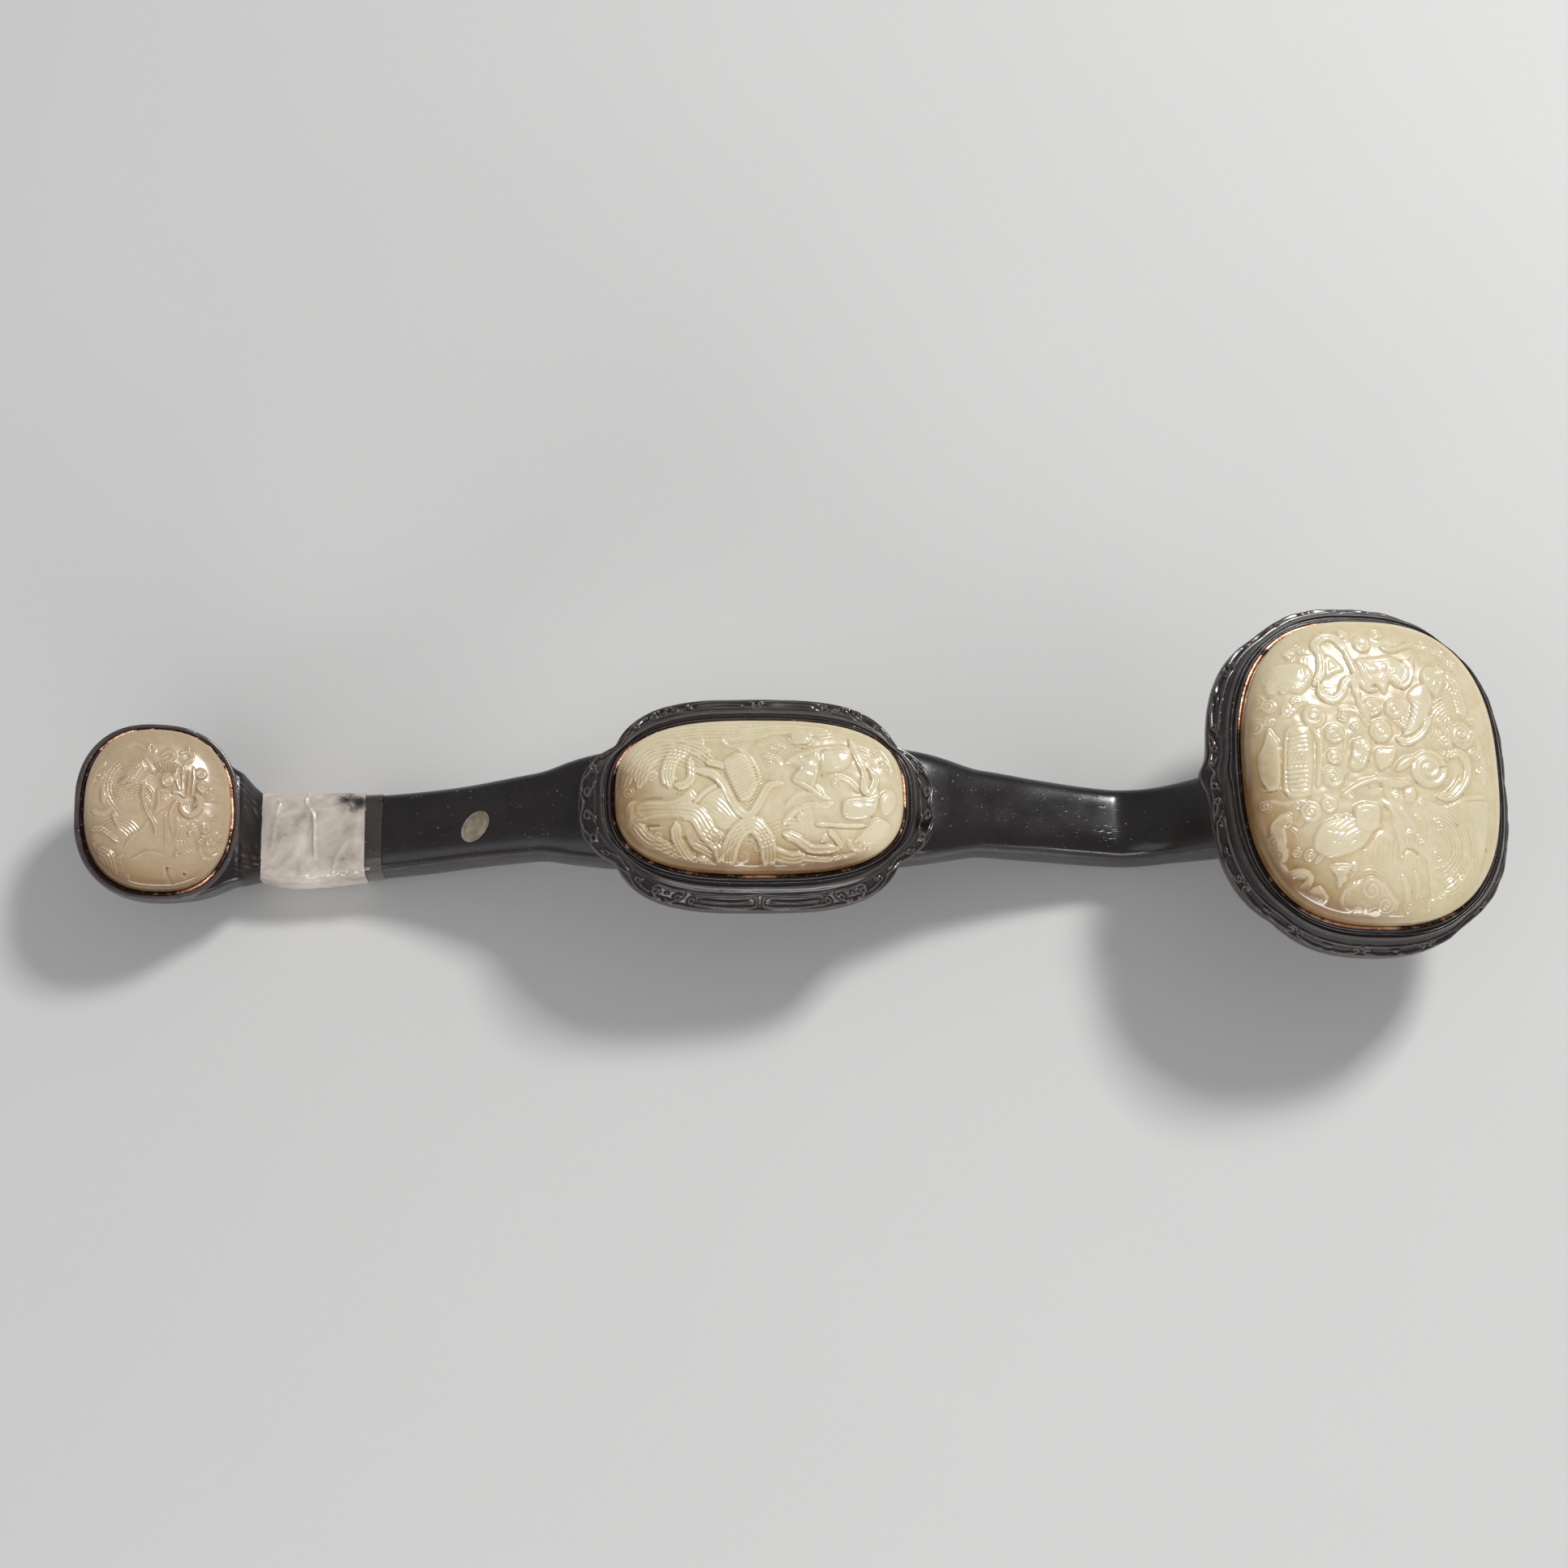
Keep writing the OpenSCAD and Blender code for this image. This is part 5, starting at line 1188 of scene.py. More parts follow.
def makeCup(segments=420):
    # plain round rim, then a bowl that closes under the tail plaque
    seat = tailSeat
    t = np.arange(segments) / segments * full
    turn = np.arctan2(tailCup["wide"] * np.sin(t), tailCup["long"] * np.cos(t))
    inner = reachOf(seat, turn, seating["lip"])
    outer = squareReach(tailCup["long"], tailCup["wide"], seat["square"], turn)
    rows = [
        (inner * 0, 4.4), (inner * 0.5, 4.4), (inner - 1.3, 4.4), (inner - 1.2, 2.3),
        (inner - 0.02, 2.2),
    ]
    for q in np.linspace(0, 1, 12):
        rows.append(
            (
                inner + (outer - inner) * (0.5 - 0.5 * math.cos(math.pi * q)),
                0.5 * (1 - math.sin(math.pi * q)) ** 2 * (0.4 + 2 * (q > 0.5)),
            )
        )
    r = [row[0] for row in rows]
    depth = [row[1] for row in rows]
    u = [one * np.cos(turn) for one in r]
    v = [one * np.sin(turn) for one in r]
    rimRows = len(rows)
    for q in np.linspace(0.04, 1, 44):
        d = 1.2 + (tailCup["deep"] - 1.2) * math.sin(math.pi / 2 * q) ** 0.95
        low = max(0, (d - tailCup["wall"]) / (tailCup["deep"] - tailCup["wall"]))
        u.append(outer * np.cos(turn) * (1 - low**2.6) ** 0.45)
        v.append(outer * np.sin(turn) * (1 - low**2.1) ** 0.45)
        depth.append(d)
    u, v = np.array(u), np.array(v)
    # the rim is square to the plaque, the wall drops plumb
    depth = np.array(depth)[:, None] + np.zeros_like(u)
    atRim = (np.arange(len(u)) < rimRows)[:, None]
    points = onSeat(seat, u, v, -np.where(atRim, depth, 1.2))
    points[..., 2] -= np.where(atRim, 0, depth - 1.2)
    points[..., 2] = np.maximum(points[..., 2], 1.2)
    outside = (np.arange(len(points)) > 8)[:, None]
    wobble = 0.07 * ripple(points[..., 0], points[..., 1] + points[..., 2], 9, 21) * outside
    points = points + rowNormals(points) * wobble[..., None]
    points = inBox(points)
    worn = np.zeros_like(u)
    # the rim's top is lightened through the crest mask: partly wear, partly painted highlight
    worn[5:22] = np.sin(np.linspace(0, math.pi, 17))[:, None] * 0.8
    return shapeBall("tailCup", points, crest=worn, hollow=worn * 0)


def makeNeck(segments=200):
    seat = tailSeat
    lean = math.radians(seat["tilt"])
    turn = np.arange(segments) / segments * full
    up = np.sin(turn) > 0
    cupL, cupW = tailCup["long"], tailCup["wide"]
    cupEdge = seat["at"][0] + cupL * math.cos(lean)
    rows = []
    for u in np.linspace(2, cupL, 40):
        outline = cupW * max(0, 1 - (u / cupL) ** seat["square"]) ** (1 / seat["square"])
        neck = u / cupL
        ease = neck * neck * (3 - 2 * neck)
        x = seat["at"][0] + u * math.cos(lean)
        inside = tailCup["overlap"] * smoothStep(1, 0.8, neck)
        top = seat["at"][2] - u * math.sin(lean) - inside * 2
        low = max(1.1, (top - 11 - 10 * (outline / cupW) ** 1.5) * (1 - ease) + 1.1 * ease)
        # a soft corner where the cup's outline meets the neck's
        near, far = outline - inside * 3, float(follow(widthLine, x)) / 2 + tailCup["flare"]
        half = max(near, far) + tailCup["corner"] / 4 * max(0, 1 - abs(near - far) / tailCup["corner"]) ** 2
        middle = top - 6
        p = 0.25 + 0.15 * smoothStep(0.6, 1, neck)
        z = middle + np.where(up, 6 * power(np.sin(turn), p), (middle - low) * power(np.sin(turn), 0.9))
        y = float(follow(sideLine, x)) + half * power(np.cos(turn), np.where(up, p, 0.8))
        rows.append(np.stack([np.full(segments, x), y, z], axis=1))
    # the neck sweeps in a hollow curve from the cup's last row to the grip
    step = rows[-1] - shaftRows([cupEdge], turn)[0]
    for x in np.linspace(cupEdge + 0.15, breakX, 70):
        left = max(0, 1 - (x - cupEdge) / tailCup["flareRun"])
        row = shaftRows([x], turn)[0]
        row[:, 1:] += step[:, 1:] * left**1.7
        rows.append(row)
    rows = np.array(rows)
    soft = blur(rows, 2, axes=(0,))
    hold = smoothStep(0, 5, np.minimum(np.arange(len(rows)), np.arange(len(rows))[::-1]))[:, None, None]
    rows = rows * (1 - hold) + soft * hold
    rows[..., 2] = np.maximum(rows[..., 2], 1.1)
    # small dents break up the shine on the neck's upper side, and pale patches there are a painted highlight
    x, t = np.meshgrid(rows[:, 0, 0], turn, indexing="ij")
    neckTop = smoothStep(cupEdge - 4, cupEdge + 1, x) * smoothStep(-0.1, 0.5, np.sin(t))
    dents = ripple(x, t * 18, 2.2, 91) + 0.5 * ripple(x, t * 18, 1.0, 92)
    rows[..., 2] += 0.16 * neckTop * dents
    closed = capped(rows)
    worn = np.zeros(closed.shape[:2])
    # painted highlight: pale patches among the dents, passed on as the crest mask
    worn[3:-3] = neckTop * smoothStep(0.1, 0.9, dents)
    return shapeBall("tailNeck", closed[::-1], crest=worn[::-1], hollow=worn * 0)


woodPieces["leftShaft"] = woodRun("leftShaft", np.linspace(breakX, leftX, 150), seed=4)
woodPieces["rightShaft"] = woodRun("rightShaft", np.linspace(rightX, neckX, 170), seed=6)
midCore = woodRun("midCore", np.linspace(leftX, rightX, 40), segments=64, unevenness=0, seed=7)
headCore = woodRun("headCore", np.linspace(neckX, rootX, 40), segments=96, unevenness=0, seed=8)
woodPieces["tailSection"] = makeCup()
tailNeck = makeNeck()
for core, mount in ((midCore, "midMount"), (headCore, "headMount"), (tailNeck, "tailSection")):
    smooth(core, 40)
    core.select_set(True)
    woodPieces[mount].select_set(True)
    bpy.context.view_layer.objects.active = woodPieces[mount]
    bpy.ops.object.join()
for name in ("leftShaft", "rightShaft", "tailSection"):
    smooth(woodPieces[name], 40)
print("wood pieces made:", ", ".join(sorted(woodPieces)))


# Copper strips: a thin hoop with a worn upper edge
def makeFillet(name, seat, worn, bright, segments=900, seed=1):
    t = np.arange(segments) / segments * full
    turn = np.arctan2(seat["wide"] * np.sin(t), seat["long"] * np.cos(t))
    gap, wide = seating["gap"], seating["fillet"]
    section = [
        (1, -1.2), (1, -0.2), (0.97, 0.1), (0.8, 0.2), (0.55, 0.24), (0.3, 0.2), (0.08, 0.1),
        (0, -0.2), (0, -1.2), (0, -2.2), (0.5, -2.2), (1, -2.2),
    ]
    rows = np.zeros((segments, len(section), 3))
    chips = ripple(turn * 14, turn * 0, 5, seed) + 0.5 * ripple(turn * 47, turn * 0, 4, seed + 1)
    # the bright angles mark where bare copper shows: partly real bare patches, partly painted glints
    shine = np.zeros_like(turn)
    for angle, spread in bright:
        away = np.angle(np.exp(1j * (turn - math.radians(angle))), deg=True)
        shine = np.maximum(shine, np.exp(-((away / spread) ** 2)))
    for j, (share, h) in enumerate(section):
        r = reachOf(seat, turn, gap + share * wide)
        sunk = np.where(h > -0.5, -worn * smoothStep(-0.1, 0.5, chips) * (0.6 + 0.4 * share), 0)
        rows[:, j] = onSeat(seat, r * np.cos(turn), r * np.sin(turn), h + sunk - 0.04)
    shine = np.clip(shine + 0.25 * chips, 0, 1)
    hoop = shapeHoop(name, rows, shine=np.repeat(shine[:, None], len(section), axis=1))
    smooth(hoop, 50)
    return hoop


fillets = {
    "headFillet": makeFillet(
        "headFillet", headSeat, 0.35, [(154, 7), (138, 7), (117, 10), (-96, 16)], 1100, 31,
    ),
    "midFillet": makeFillet("midFillet", midSeat, 0.3, [(4, 6), (162, 6), (-92, 12), (62, 6)], 1000, 41),
    "tailFillet": makeFillet("tailFillet", tailSeat, 0.4, [(2, 14), (29, 7), (-59, 10), (119, 12)], 800, 51),
}
print("copper strips made:", len(fillets))

# Tape: an outer lap that is crumpled and milky, over a clear inner lap that is left to the CAD
tapeSpec = {
    "from": -184.5, "to": -147.5, "inner": 0.4, "outer": 1.1, "wrinkle": 0.22, "sag": 0.9,
    # where the film lies tight on the wood, in mm along and across: place, side, length, spread, amount
    "tight": [
        (32.0, -10.2, 5.4, 3.8, 1.0), (33.0, -1.0, 4.0, 3.4, 0.4), (5.2, 1.5, 2.8, 6.0, 0.35),
        (8.0, 6.5, 2.6, 3.6, 0.25),
        (17.0, 11.0, 6.0, 2.6, 0.3), (27.0, 9.5, 4.4, 2.8, 0.25), (9.0, -9.5, 5.0, 2.2, 0.2),
    ],
}


def makeTape(segments=360, half=120):
    x = np.linspace(tapeSpec["from"], tapeSpec["to"], half)
    turn = np.arange(segments) / segments * full
    outside = shaftRows(x, turn, tapeSpec["outer"])
    inside = shaftRows(x, turn, tapeSpec["inner"])
    along = (x - x[0]) / (x[-1] - x[0])
    a, t = np.meshgrid(along, turn, indexing="ij")
    lift = tapeSpec["wrinkle"] * (ripple(a * 37, t * 14, 6, 61) + 0.7 * ripple(a * 37, t * 14, 3.1, 62))
    folds = [
        ([(16, 1.2), (17, 5), (16.2, 10), (19, 14), (20, 19)], 0.5, 0.5),
        ([(2, 17), (8, 13.5), (15, 12.5), (24, 12), (36, 10)], 0.45, 0.35),
        ([(26, 24), (27, 18), (31, 15), (36, 14.5)], 0.8, 0.45),
        ([(3, 6), (7, 9), (6, 14)], 0.6, 0.35), ([(0, 2.5), (9, 4), (22, 3), (36, 5)], 0.6, 0.3),
    ]
    for path, width, height in folds:
        lift = lift + cutLine(
            a * 37, (t * 14), smoothPath([(p, (q + 2) * 1.3) for p, q in path]), width, height,
        )
    tight = np.zeros_like(a)
    across = -power(np.cos(t), 0.4) * 14.5
    for place, side, length, spread, amount in tapeSpec["tight"]:
        away = np.hypot((a * 37 - place) / length, (across - side) / spread)
        tight = np.maximum(tight, amount * smoothStep(1.3, 0.6, away) * (np.sin(t) > -0.3))
    sides = smoothStep(0.4, 0.9, np.abs(np.cos(t))) * smoothStep(-0.95, -0.2, np.sin(t))
    lift = lift + tapeSpec["sag"] * sides * (np.cos(t) < 0) * np.exp(-(((a - 0.45) / 0.35) ** 2))
    normal = -rowNormals(outside)
    ends = smoothStep(0, 0.04, np.minimum(a, 1 - a)) * 0.85 + 0.15
    outside = outside + normal * (np.maximum(lift, -0.25) * ends)[..., None]
    outside[..., 2] = np.maximum(outside[..., 2], 0)
    ring = np.concatenate([outside, inside[::-1]])
    ring = np.roll(ring, -(half // 2), axis=0)
    rows = ring.transpose(1, 0, 2)
    fold = np.concatenate([lift, lift[::-1]])
    fold = np.roll(fold, -(half // 2), axis=0).T
    tight = np.roll(np.concatenate([tight, tight[::-1]]), -(half // 2), axis=0).T
    tape = shapeHoop("tapeOuter", rows, fold=np.clip(fold, -1, 1), tight=tight)
    smooth(tape, 40)
    return tape


tapeOuter = makeTape()

# Oval label: a bare paper disc with a pressed border
labelSpec = {"at": -108.0, "side": -2.8, "long": 11.8, "wide": 8.4, "thick": 0.42, "turn": 50.0}


def makeLabel():
    clearSelection()
    bpy.ops.mesh.primitive_cylinder_add(vertices=96, radius=1, depth=1)
    label = named(bpy.context.object, "labelPaper")
    bpy.ops.object.mode_set(mode="EDIT")
    bpy.ops.mesh.select_all(action="DESELECT")
    bpy.ops.mesh.select_mode(type="FACE")
    bpy.ops.object.mode_set(mode="OBJECT")
    for face in label.data.polygons:
        face.select = face.normal.z > 0.9
    bpy.ops.object.mode_set(mode="EDIT")
    for thick, deep in (
        (0.06, 0.0), (0.07, 0.0), (0.03, -0.18), (0.05, 0.0), (0.03, 0.18), (0.1, 0.0), (0.2, 0.0),
        (0.2, 0.0),
    ):
        bpy.ops.mesh.inset(thickness=thick, depth=deep)
    bpy.ops.object.mode_set(mode="OBJECT")
    disc = readPoints(label)
    x = disc[:, 0] * labelSpec["long"] / 2
    y = disc[:, 1] * labelSpec["wide"] / 2
    c, s = math.cos(math.radians(labelSpec["turn"])), math.sin(math.radians(labelSpec["turn"]))
    px = labelSpec["at"] + x * c - y * s
    side = float(follow(sideLine, labelSpec["at"])) + labelSpec["side"]
    py = side + x * s + y * c
    half = follow(widthLine, px) / 2
    rise = (follow(faceLine, px) - follow(backLine, px)) / 2
    across = np.clip((py - follow(sideLine, px)) / half, -1, 1)
    ground = (follow(faceLine, px) + follow(backLine, px)) / 2 + rise * (1 - np.abs(across) ** 5) ** 0.2
    curl = 0.12 * smoothStep(0.75, 1.0, np.hypot(disc[:, 0], disc[:, 1]))
    writePoints(
        label,
        np.stack([px, py, ground + (disc[:, 2] + 0.5) * labelSpec["thick"] + curl - 0.05], axis=1),
    )
    smooth(label, 30)
    return label


labelPaper = makeLabel()
print("tape and label made")


# Finishes
def put(tree, kind, settings=None, **inputs):
    node = tree.nodes.new(kind)
    for key, value in (settings or {}).items():
        setattr(node, key, value)
    for key, value in inputs.items():
        byNumber = key[0] == "i" and key[1:].isdigit()
        socket = node.inputs[int(key[1:]) if byNumber else key.replace("_", " ")]
        if isinstance(value, bpy.types.NodeSocket):
            tree.links.new(value, socket)
        else:
            socket.default_value = value
    return node


def ramp(tree, source, stops):
    node = put(tree, "ShaderNodeValToRGB", Fac=source)
    while len(node.color_ramp.elements) < len(stops):
        node.color_ramp.elements.new(0.5)
    for element, (place, colour) in zip(node.color_ramp.elements, stops):
        element.position = place
        element.color = colour if len(colour) == 4 else (*colour, 1)
    return node.outputs["Color"]


def grey(value):
    return (value, value, value, 1)


def noise(tree, vector, scale, detail=4.0, roughness=0.55, distortion=0.0):
    return put(
        tree, "ShaderNodeTexNoise", Vector=vector, Scale=scale, Detail=detail, Roughness=roughness,
        Distortion=distortion,
    ).outputs["Fac"]


def maths(tree, kind, a, b=0.0, c=0.0, clamp=False):
    return put(tree, "ShaderNodeMath", {"operation": kind, "use_clamp": clamp}, i0=a, i1=b, i2=c).outputs[0]


def blend(tree, amount, a, b, kind="MIX"):
    node = put(tree, "ShaderNodeMix", {"data_type": "RGBA", "blend_type": kind})
    for socket, value in ((node.inputs[0], amount), (node.inputs[6], a), (node.inputs[7], b)):
        if isinstance(value, bpy.types.NodeSocket):
            tree.links.new(value, socket)
        else:
            socket.default_value = value
    return node.outputs[2]


def mask(tree, name):
    return put(tree, "ShaderNodeAttribute", {"attribute_name": name}).outputs["Fac"]


def newGroup(name, inputs, outputs):
    group = bpy.data.node_groups.new(name, "ShaderNodeTree")
    for key, kind, value in inputs:
        socket = group.interface.new_socket(key, in_out="INPUT", socket_type=kind)
        if value is not None:
            socket.default_value = value
    for key, kind in outputs:
        group.interface.new_socket(key, in_out="OUTPUT", socket_type=kind)
    return group, group.nodes.new("NodeGroupInput"), group.nodes.new("NodeGroupOutput")


def useGroup(tree, group, **inputs):
    node = tree.nodes.new("ShaderNodeGroup")
    node.node_tree = group
    for key, value in inputs.items():
        if isinstance(value, bpy.types.NodeSocket):
            tree.links.new(value, node.inputs[key])
        else:
            node.inputs[key].default_value = value
    return node


def newFinish(name, **sockets):
    finish = bpy.data.materials.new(name)
    finish.use_nodes = True
    tree = finish.node_tree
    shader = tree.nodes["Principled BSDF"]
    for key, value in sockets.items():
        shader.inputs[key.replace("_", " ")].default_value = value
    place = put(tree, "ShaderNodeTexCoord").outputs["Object"]
    return finish, tree, shader, place


def bump(tree, height, strength, distance):
    return put(tree, "ShaderNodeBump", Height=height, Strength=strength, Distance=distance).outputs["Normal"]


def dustGroup():
    # fine pale specks and a faint patchy film
    group, start, end = newGroup(
        "dust",
        [
            ("Place", "NodeSocketVector", None), ("Colour", "NodeSocketColor", grey(0.05)),
            ("Dust", "NodeSocketColor", grey(0.4)), ("Film", "NodeSocketFloat", 0.1),
            ("Specks", "NodeSocketFloat", 0.6),
        ],
        [("Colour", "NodeSocketColor"), ("Amount", "NodeSocketFloat")],
    )
    place = start.outputs["Place"]
    cells = put(group, "ShaderNodeTexVoronoi", Vector=place, Scale=620.0, Randomness=1.0)
    speck = ramp(group, cells.outputs["Distance"], [(0.0, grey(1)), (0.16, grey(1)), (0.22, grey(0))])
    chosen = put(group, "ShaderNodeSeparateColor", Color=cells.outputs["Color"]).outputs[0]
    few = ramp(group, chosen, [(0.0, grey(0)), (0.8, grey(0)), (0.84, grey(1))])
    patches = ramp(group, noise(group, place, 70.0, 3.0), [(0.42, grey(0)), (0.66, grey(1))])
    specks = maths(
        group, "MULTIPLY", maths(group, "MULTIPLY", speck, few),
        maths(group, "MULTIPLY", patches, start.outputs["Specks"]),
    )
    film = maths(
        group, "MULTIPLY",
        ramp(group, noise(group, place, 130.0, 6.0, 0.7), [(0.35, grey(0)), (0.75, grey(1))]),
        start.outputs["Film"],
    )
    amount = maths(group, "ADD", specks, film, clamp=True)
    group.links.new(
        blend(group, amount, start.outputs["Colour"], start.outputs["Dust"]), end.inputs["Colour"],
    )
    group.links.new(amount, end.inputs["Amount"])
    return group


def grainGroup():
    # long dark pores and slow streaks that follow the shaft
    group, start, end = newGroup(
        "grain",
        [
            ("Place", "NodeSocketVector", None), ("Deep", "NodeSocketColor", grey(0.01)),
            ("Warm", "NodeSocketColor", grey(0.05)),
        ],
        [("Colour", "NodeSocketColor"), ("Height", "NodeSocketFloat")],
    )
    stretched = put(
        group, "ShaderNodeMapping", Vector=start.outputs["Place"], Scale=(0.09, 1.0, 1.0),
    ).outputs["Vector"]
    streak = noise(group, stretched, 260.0, 6.0, 0.62, 0.4)
    broad = noise(group, stretched, 60.0, 3.0, 0.5, 0.8)
    tone = maths(group, "MULTIPLY_ADD", streak, 0.6, maths(group, "MULTIPLY", broad, 0.5))
    colour = blend(
        group, ramp(group, tone, [(0.35, grey(0)), (0.75, grey(1))]), start.outputs["Deep"],
        start.outputs["Warm"],
    )
    pores = put(
        group, "ShaderNodeMapping", Vector=start.outputs["Place"], Scale=(0.16, 1.0, 1.0),
    ).outputs["Vector"]
    pore = ramp(group, noise(group, pores, 900.0, 2.0, 0.5), [(0.28, grey(0)), (0.38, grey(1))])
    group.links.new(colour, end.inputs["Colour"])
    group.links.new(maths(group, "MULTIPLY_ADD", streak, 0.35, pore), end.inputs["Height"])
    return group


dust = dustGroup()
grain = grainGroup()


def woodFinish(name, deep, warm, rough, film, specks):
    finish, tree, shader, place = newFinish(name, Coat_Roughness=0.22, IOR=1.5)
    fibres = useGroup(tree, grain, Place=place, Deep=deep, Warm=warm)
    crest, hollow = mask(tree, "crest"), mask(tree, "hollow")
    broken = ramp(tree, noise(tree, place, 160.0, 5.0, 0.65), [(0.3, grey(0.35)), (0.62, grey(1))])
    # the crest mask lightens ridges and edges: partly real wear, partly painted highlight
    wearAndSheen = maths(tree, "MULTIPLY", crest, broken)
    colour = blend(tree, wearAndSheen, fibres.outputs["Colour"], (0.105, 0.078, 0.072, 1))
    # painted shade: recesses of the carving darkened almost to black
    colour = blend(tree, maths(tree, "MULTIPLY", hollow, 0.75), colour, (0.003, 0.002, 0.002, 1))
    dusty = useGroup(
        tree, dust, Place=place, Colour=colour, Dust=(0.30, 0.27, 0.26, 1), Film=film, Specks=specks,
    )
    tree.links.new(dusty.outputs["Colour"], shader.inputs["Base Color"])
    uneven = ramp(tree, noise(tree, place, 55.0, 5.0, 0.6), [
        (0.3, grey(rough - 0.06)), (0.7, grey(rough + 0.1)),
    ])
    roughness = maths(tree, "ADD", uneven, maths(tree, "MULTIPLY", dusty.outputs["Amount"], 0.4), clamp=True)
    tree.links.new(
        maths(tree, "SUBTRACT", roughness, maths(tree, "MULTIPLY", wearAndSheen, 0.1), clamp=True),
        shader.inputs["Roughness"],
    )
    tree.links.new(
        ramp(tree, noise(tree, place, 35.0, 3.0), [(0.35, grey(0.1)), (0.7, grey(0.35))]),
        shader.inputs["Coat Weight"],
    )
    fine = noise(tree, place, 1400.0, 2.0)
    height = maths(tree, "MULTIPLY_ADD", fine, 0.25, fibres.outputs["Height"])
    tree.links.new(bump(tree, height, 0.35, 0.00012), shader.inputs["Normal"])
    return finish


def jadeFinish(name, pale, cool, warm, thinShadedGold, shadedRimBrown, rough):
    finish, tree, shader, place = newFinish(
        name, Subsurface_Weight=0.3, Subsurface_Scale=0.0032, Subsurface_Radius=(1.0, 0.8, 0.45),
        IOR=1.6, Coat_Weight=0.35, Coat_Roughness=0.06
    )
    cloud = noise(tree, place, 34.0, 5.0, 0.6, 0.6)
    body = blend(tree, ramp(tree, cloud, [(0.34, grey(0)), (0.66, grey(1))]), cool, pale)
    veins = put(
        tree, "ShaderNodeMapping", Vector=place, Scale=(1.0, 0.55, 1.0), Rotation=(0.0, 0.0, 0.5),
    ).outputs["Vector"]
    vein = ramp(
        tree, noise(tree, veins, 24.0, 7.0, 0.68, 1.6),
        [(0.46, grey(0)), (0.5, grey(1)), (0.54, grey(0))],
    )
    body = blend(tree, maths(tree, "MULTIPLY", vein, 0.22), body, warm)
    hollow, crest, rim, shadedThinRim = (mask(tree, layer) for layer in ("hollow", "crest", "rim", "shadedThinRim"))
    stain = ramp(tree, noise(tree, place, 52.0, 4.0, 0.6), [(0.3, grey(0.3)), (0.7, grey(1))])
    body = blend(tree, maths(tree, "MULTIPLY", hollow, 0.5), body, warm)
    body = blend(tree, maths(tree, "MULTIPLY", rim, maths(tree, "MULTIPLY", stain, 0.45)), body, warm)
    # painted shade, partly real: the shaded thin rim turns golden, and brown at its very edge
    body = blend(
        tree, maths(tree, "MULTIPLY", shadedThinRim, maths(tree, "MULTIPLY_ADD", stain, 0.3, 0.7, clamp=True)),
        body, thinShadedGold,
    )
    body = blend(tree, maths(tree, "MULTIPLY", maths(tree, "MULTIPLY", shadedThinRim, rim), stain), body, shadedRimBrown)
    # painted highlight: ridge tops lightened toward the pale colour
    body = blend(tree, maths(tree, "MULTIPLY", crest, 0.45), body, pale)
    grime = ramp(tree, noise(tree, place, 380.0, 5.0, 0.75), [(0.6, grey(0)), (0.7, grey(1))])
    body = blend(
        tree, maths(tree, "MULTIPLY", maths(tree, "MULTIPLY", grime, hollow), 0.75), body,
        (0.10, 0.06, 0.03, 1),
    )
    tree.links.new(body, shader.inputs["Base Color"])
    gloss = ramp(tree, noise(tree, place, 90.0, 4.0), [(0.3, grey(rough - 0.05)), (0.7, grey(rough + 0.06))])
    tree.links.new(
        maths(tree, "ADD", gloss, maths(tree, "MULTIPLY", hollow, 0.15), clamp=True),
        shader.inputs["Roughness"],
    )
    height = maths(tree, "MULTIPLY_ADD", noise(tree, place, 520.0, 3.0), 0.6, noise(tree, place, 160.0, 2.0))
    tree.links.new(bump(tree, height, 0.12, 0.0002), shader.inputs["Normal"])
    return finish


def copperFinish():
    finish, tree, shader, place = newFinish("wornCopper", Metallic=1.0)
    shine = mask(tree, "shine")
    tone = noise(tree, place, 240.0, 5.0, 0.65)
    colour = ramp(tree, tone, [
        (0.35, (0.36, 0.15, 0.09)), (0.5, (0.72, 0.34, 0.21)), (0.66, (0.9, 0.62, 0.42)),
    ])
    # shine: bare copper, partly real and partly painted glints, shows through the dark tarnish
    flakes = maths(tree, "ADD", maths(tree, "MULTIPLY", shine, 0.42), noise(tree, place, 330.0, 5.0, 0.7))
    dark = ramp(tree, flakes, [(0.56, grey(1)), (0.7, grey(0))])
    colour = blend(tree, dark, colour, (0.035, 0.021, 0.018, 1))
    tree.links.new(colour, shader.inputs["Base Color"])
    tree.links.new(
        ramp(tree, noise(tree, place, 800.0, 3.0), [(0.3, grey(0.22)), (0.7, grey(0.5))]),
        shader.inputs["Roughness"],
    )
    tree.links.new(bump(tree, noise(tree, place, 900.0, 4.0, 0.7), 0.7, 0.0003), shader.inputs["Normal"])
    return finish


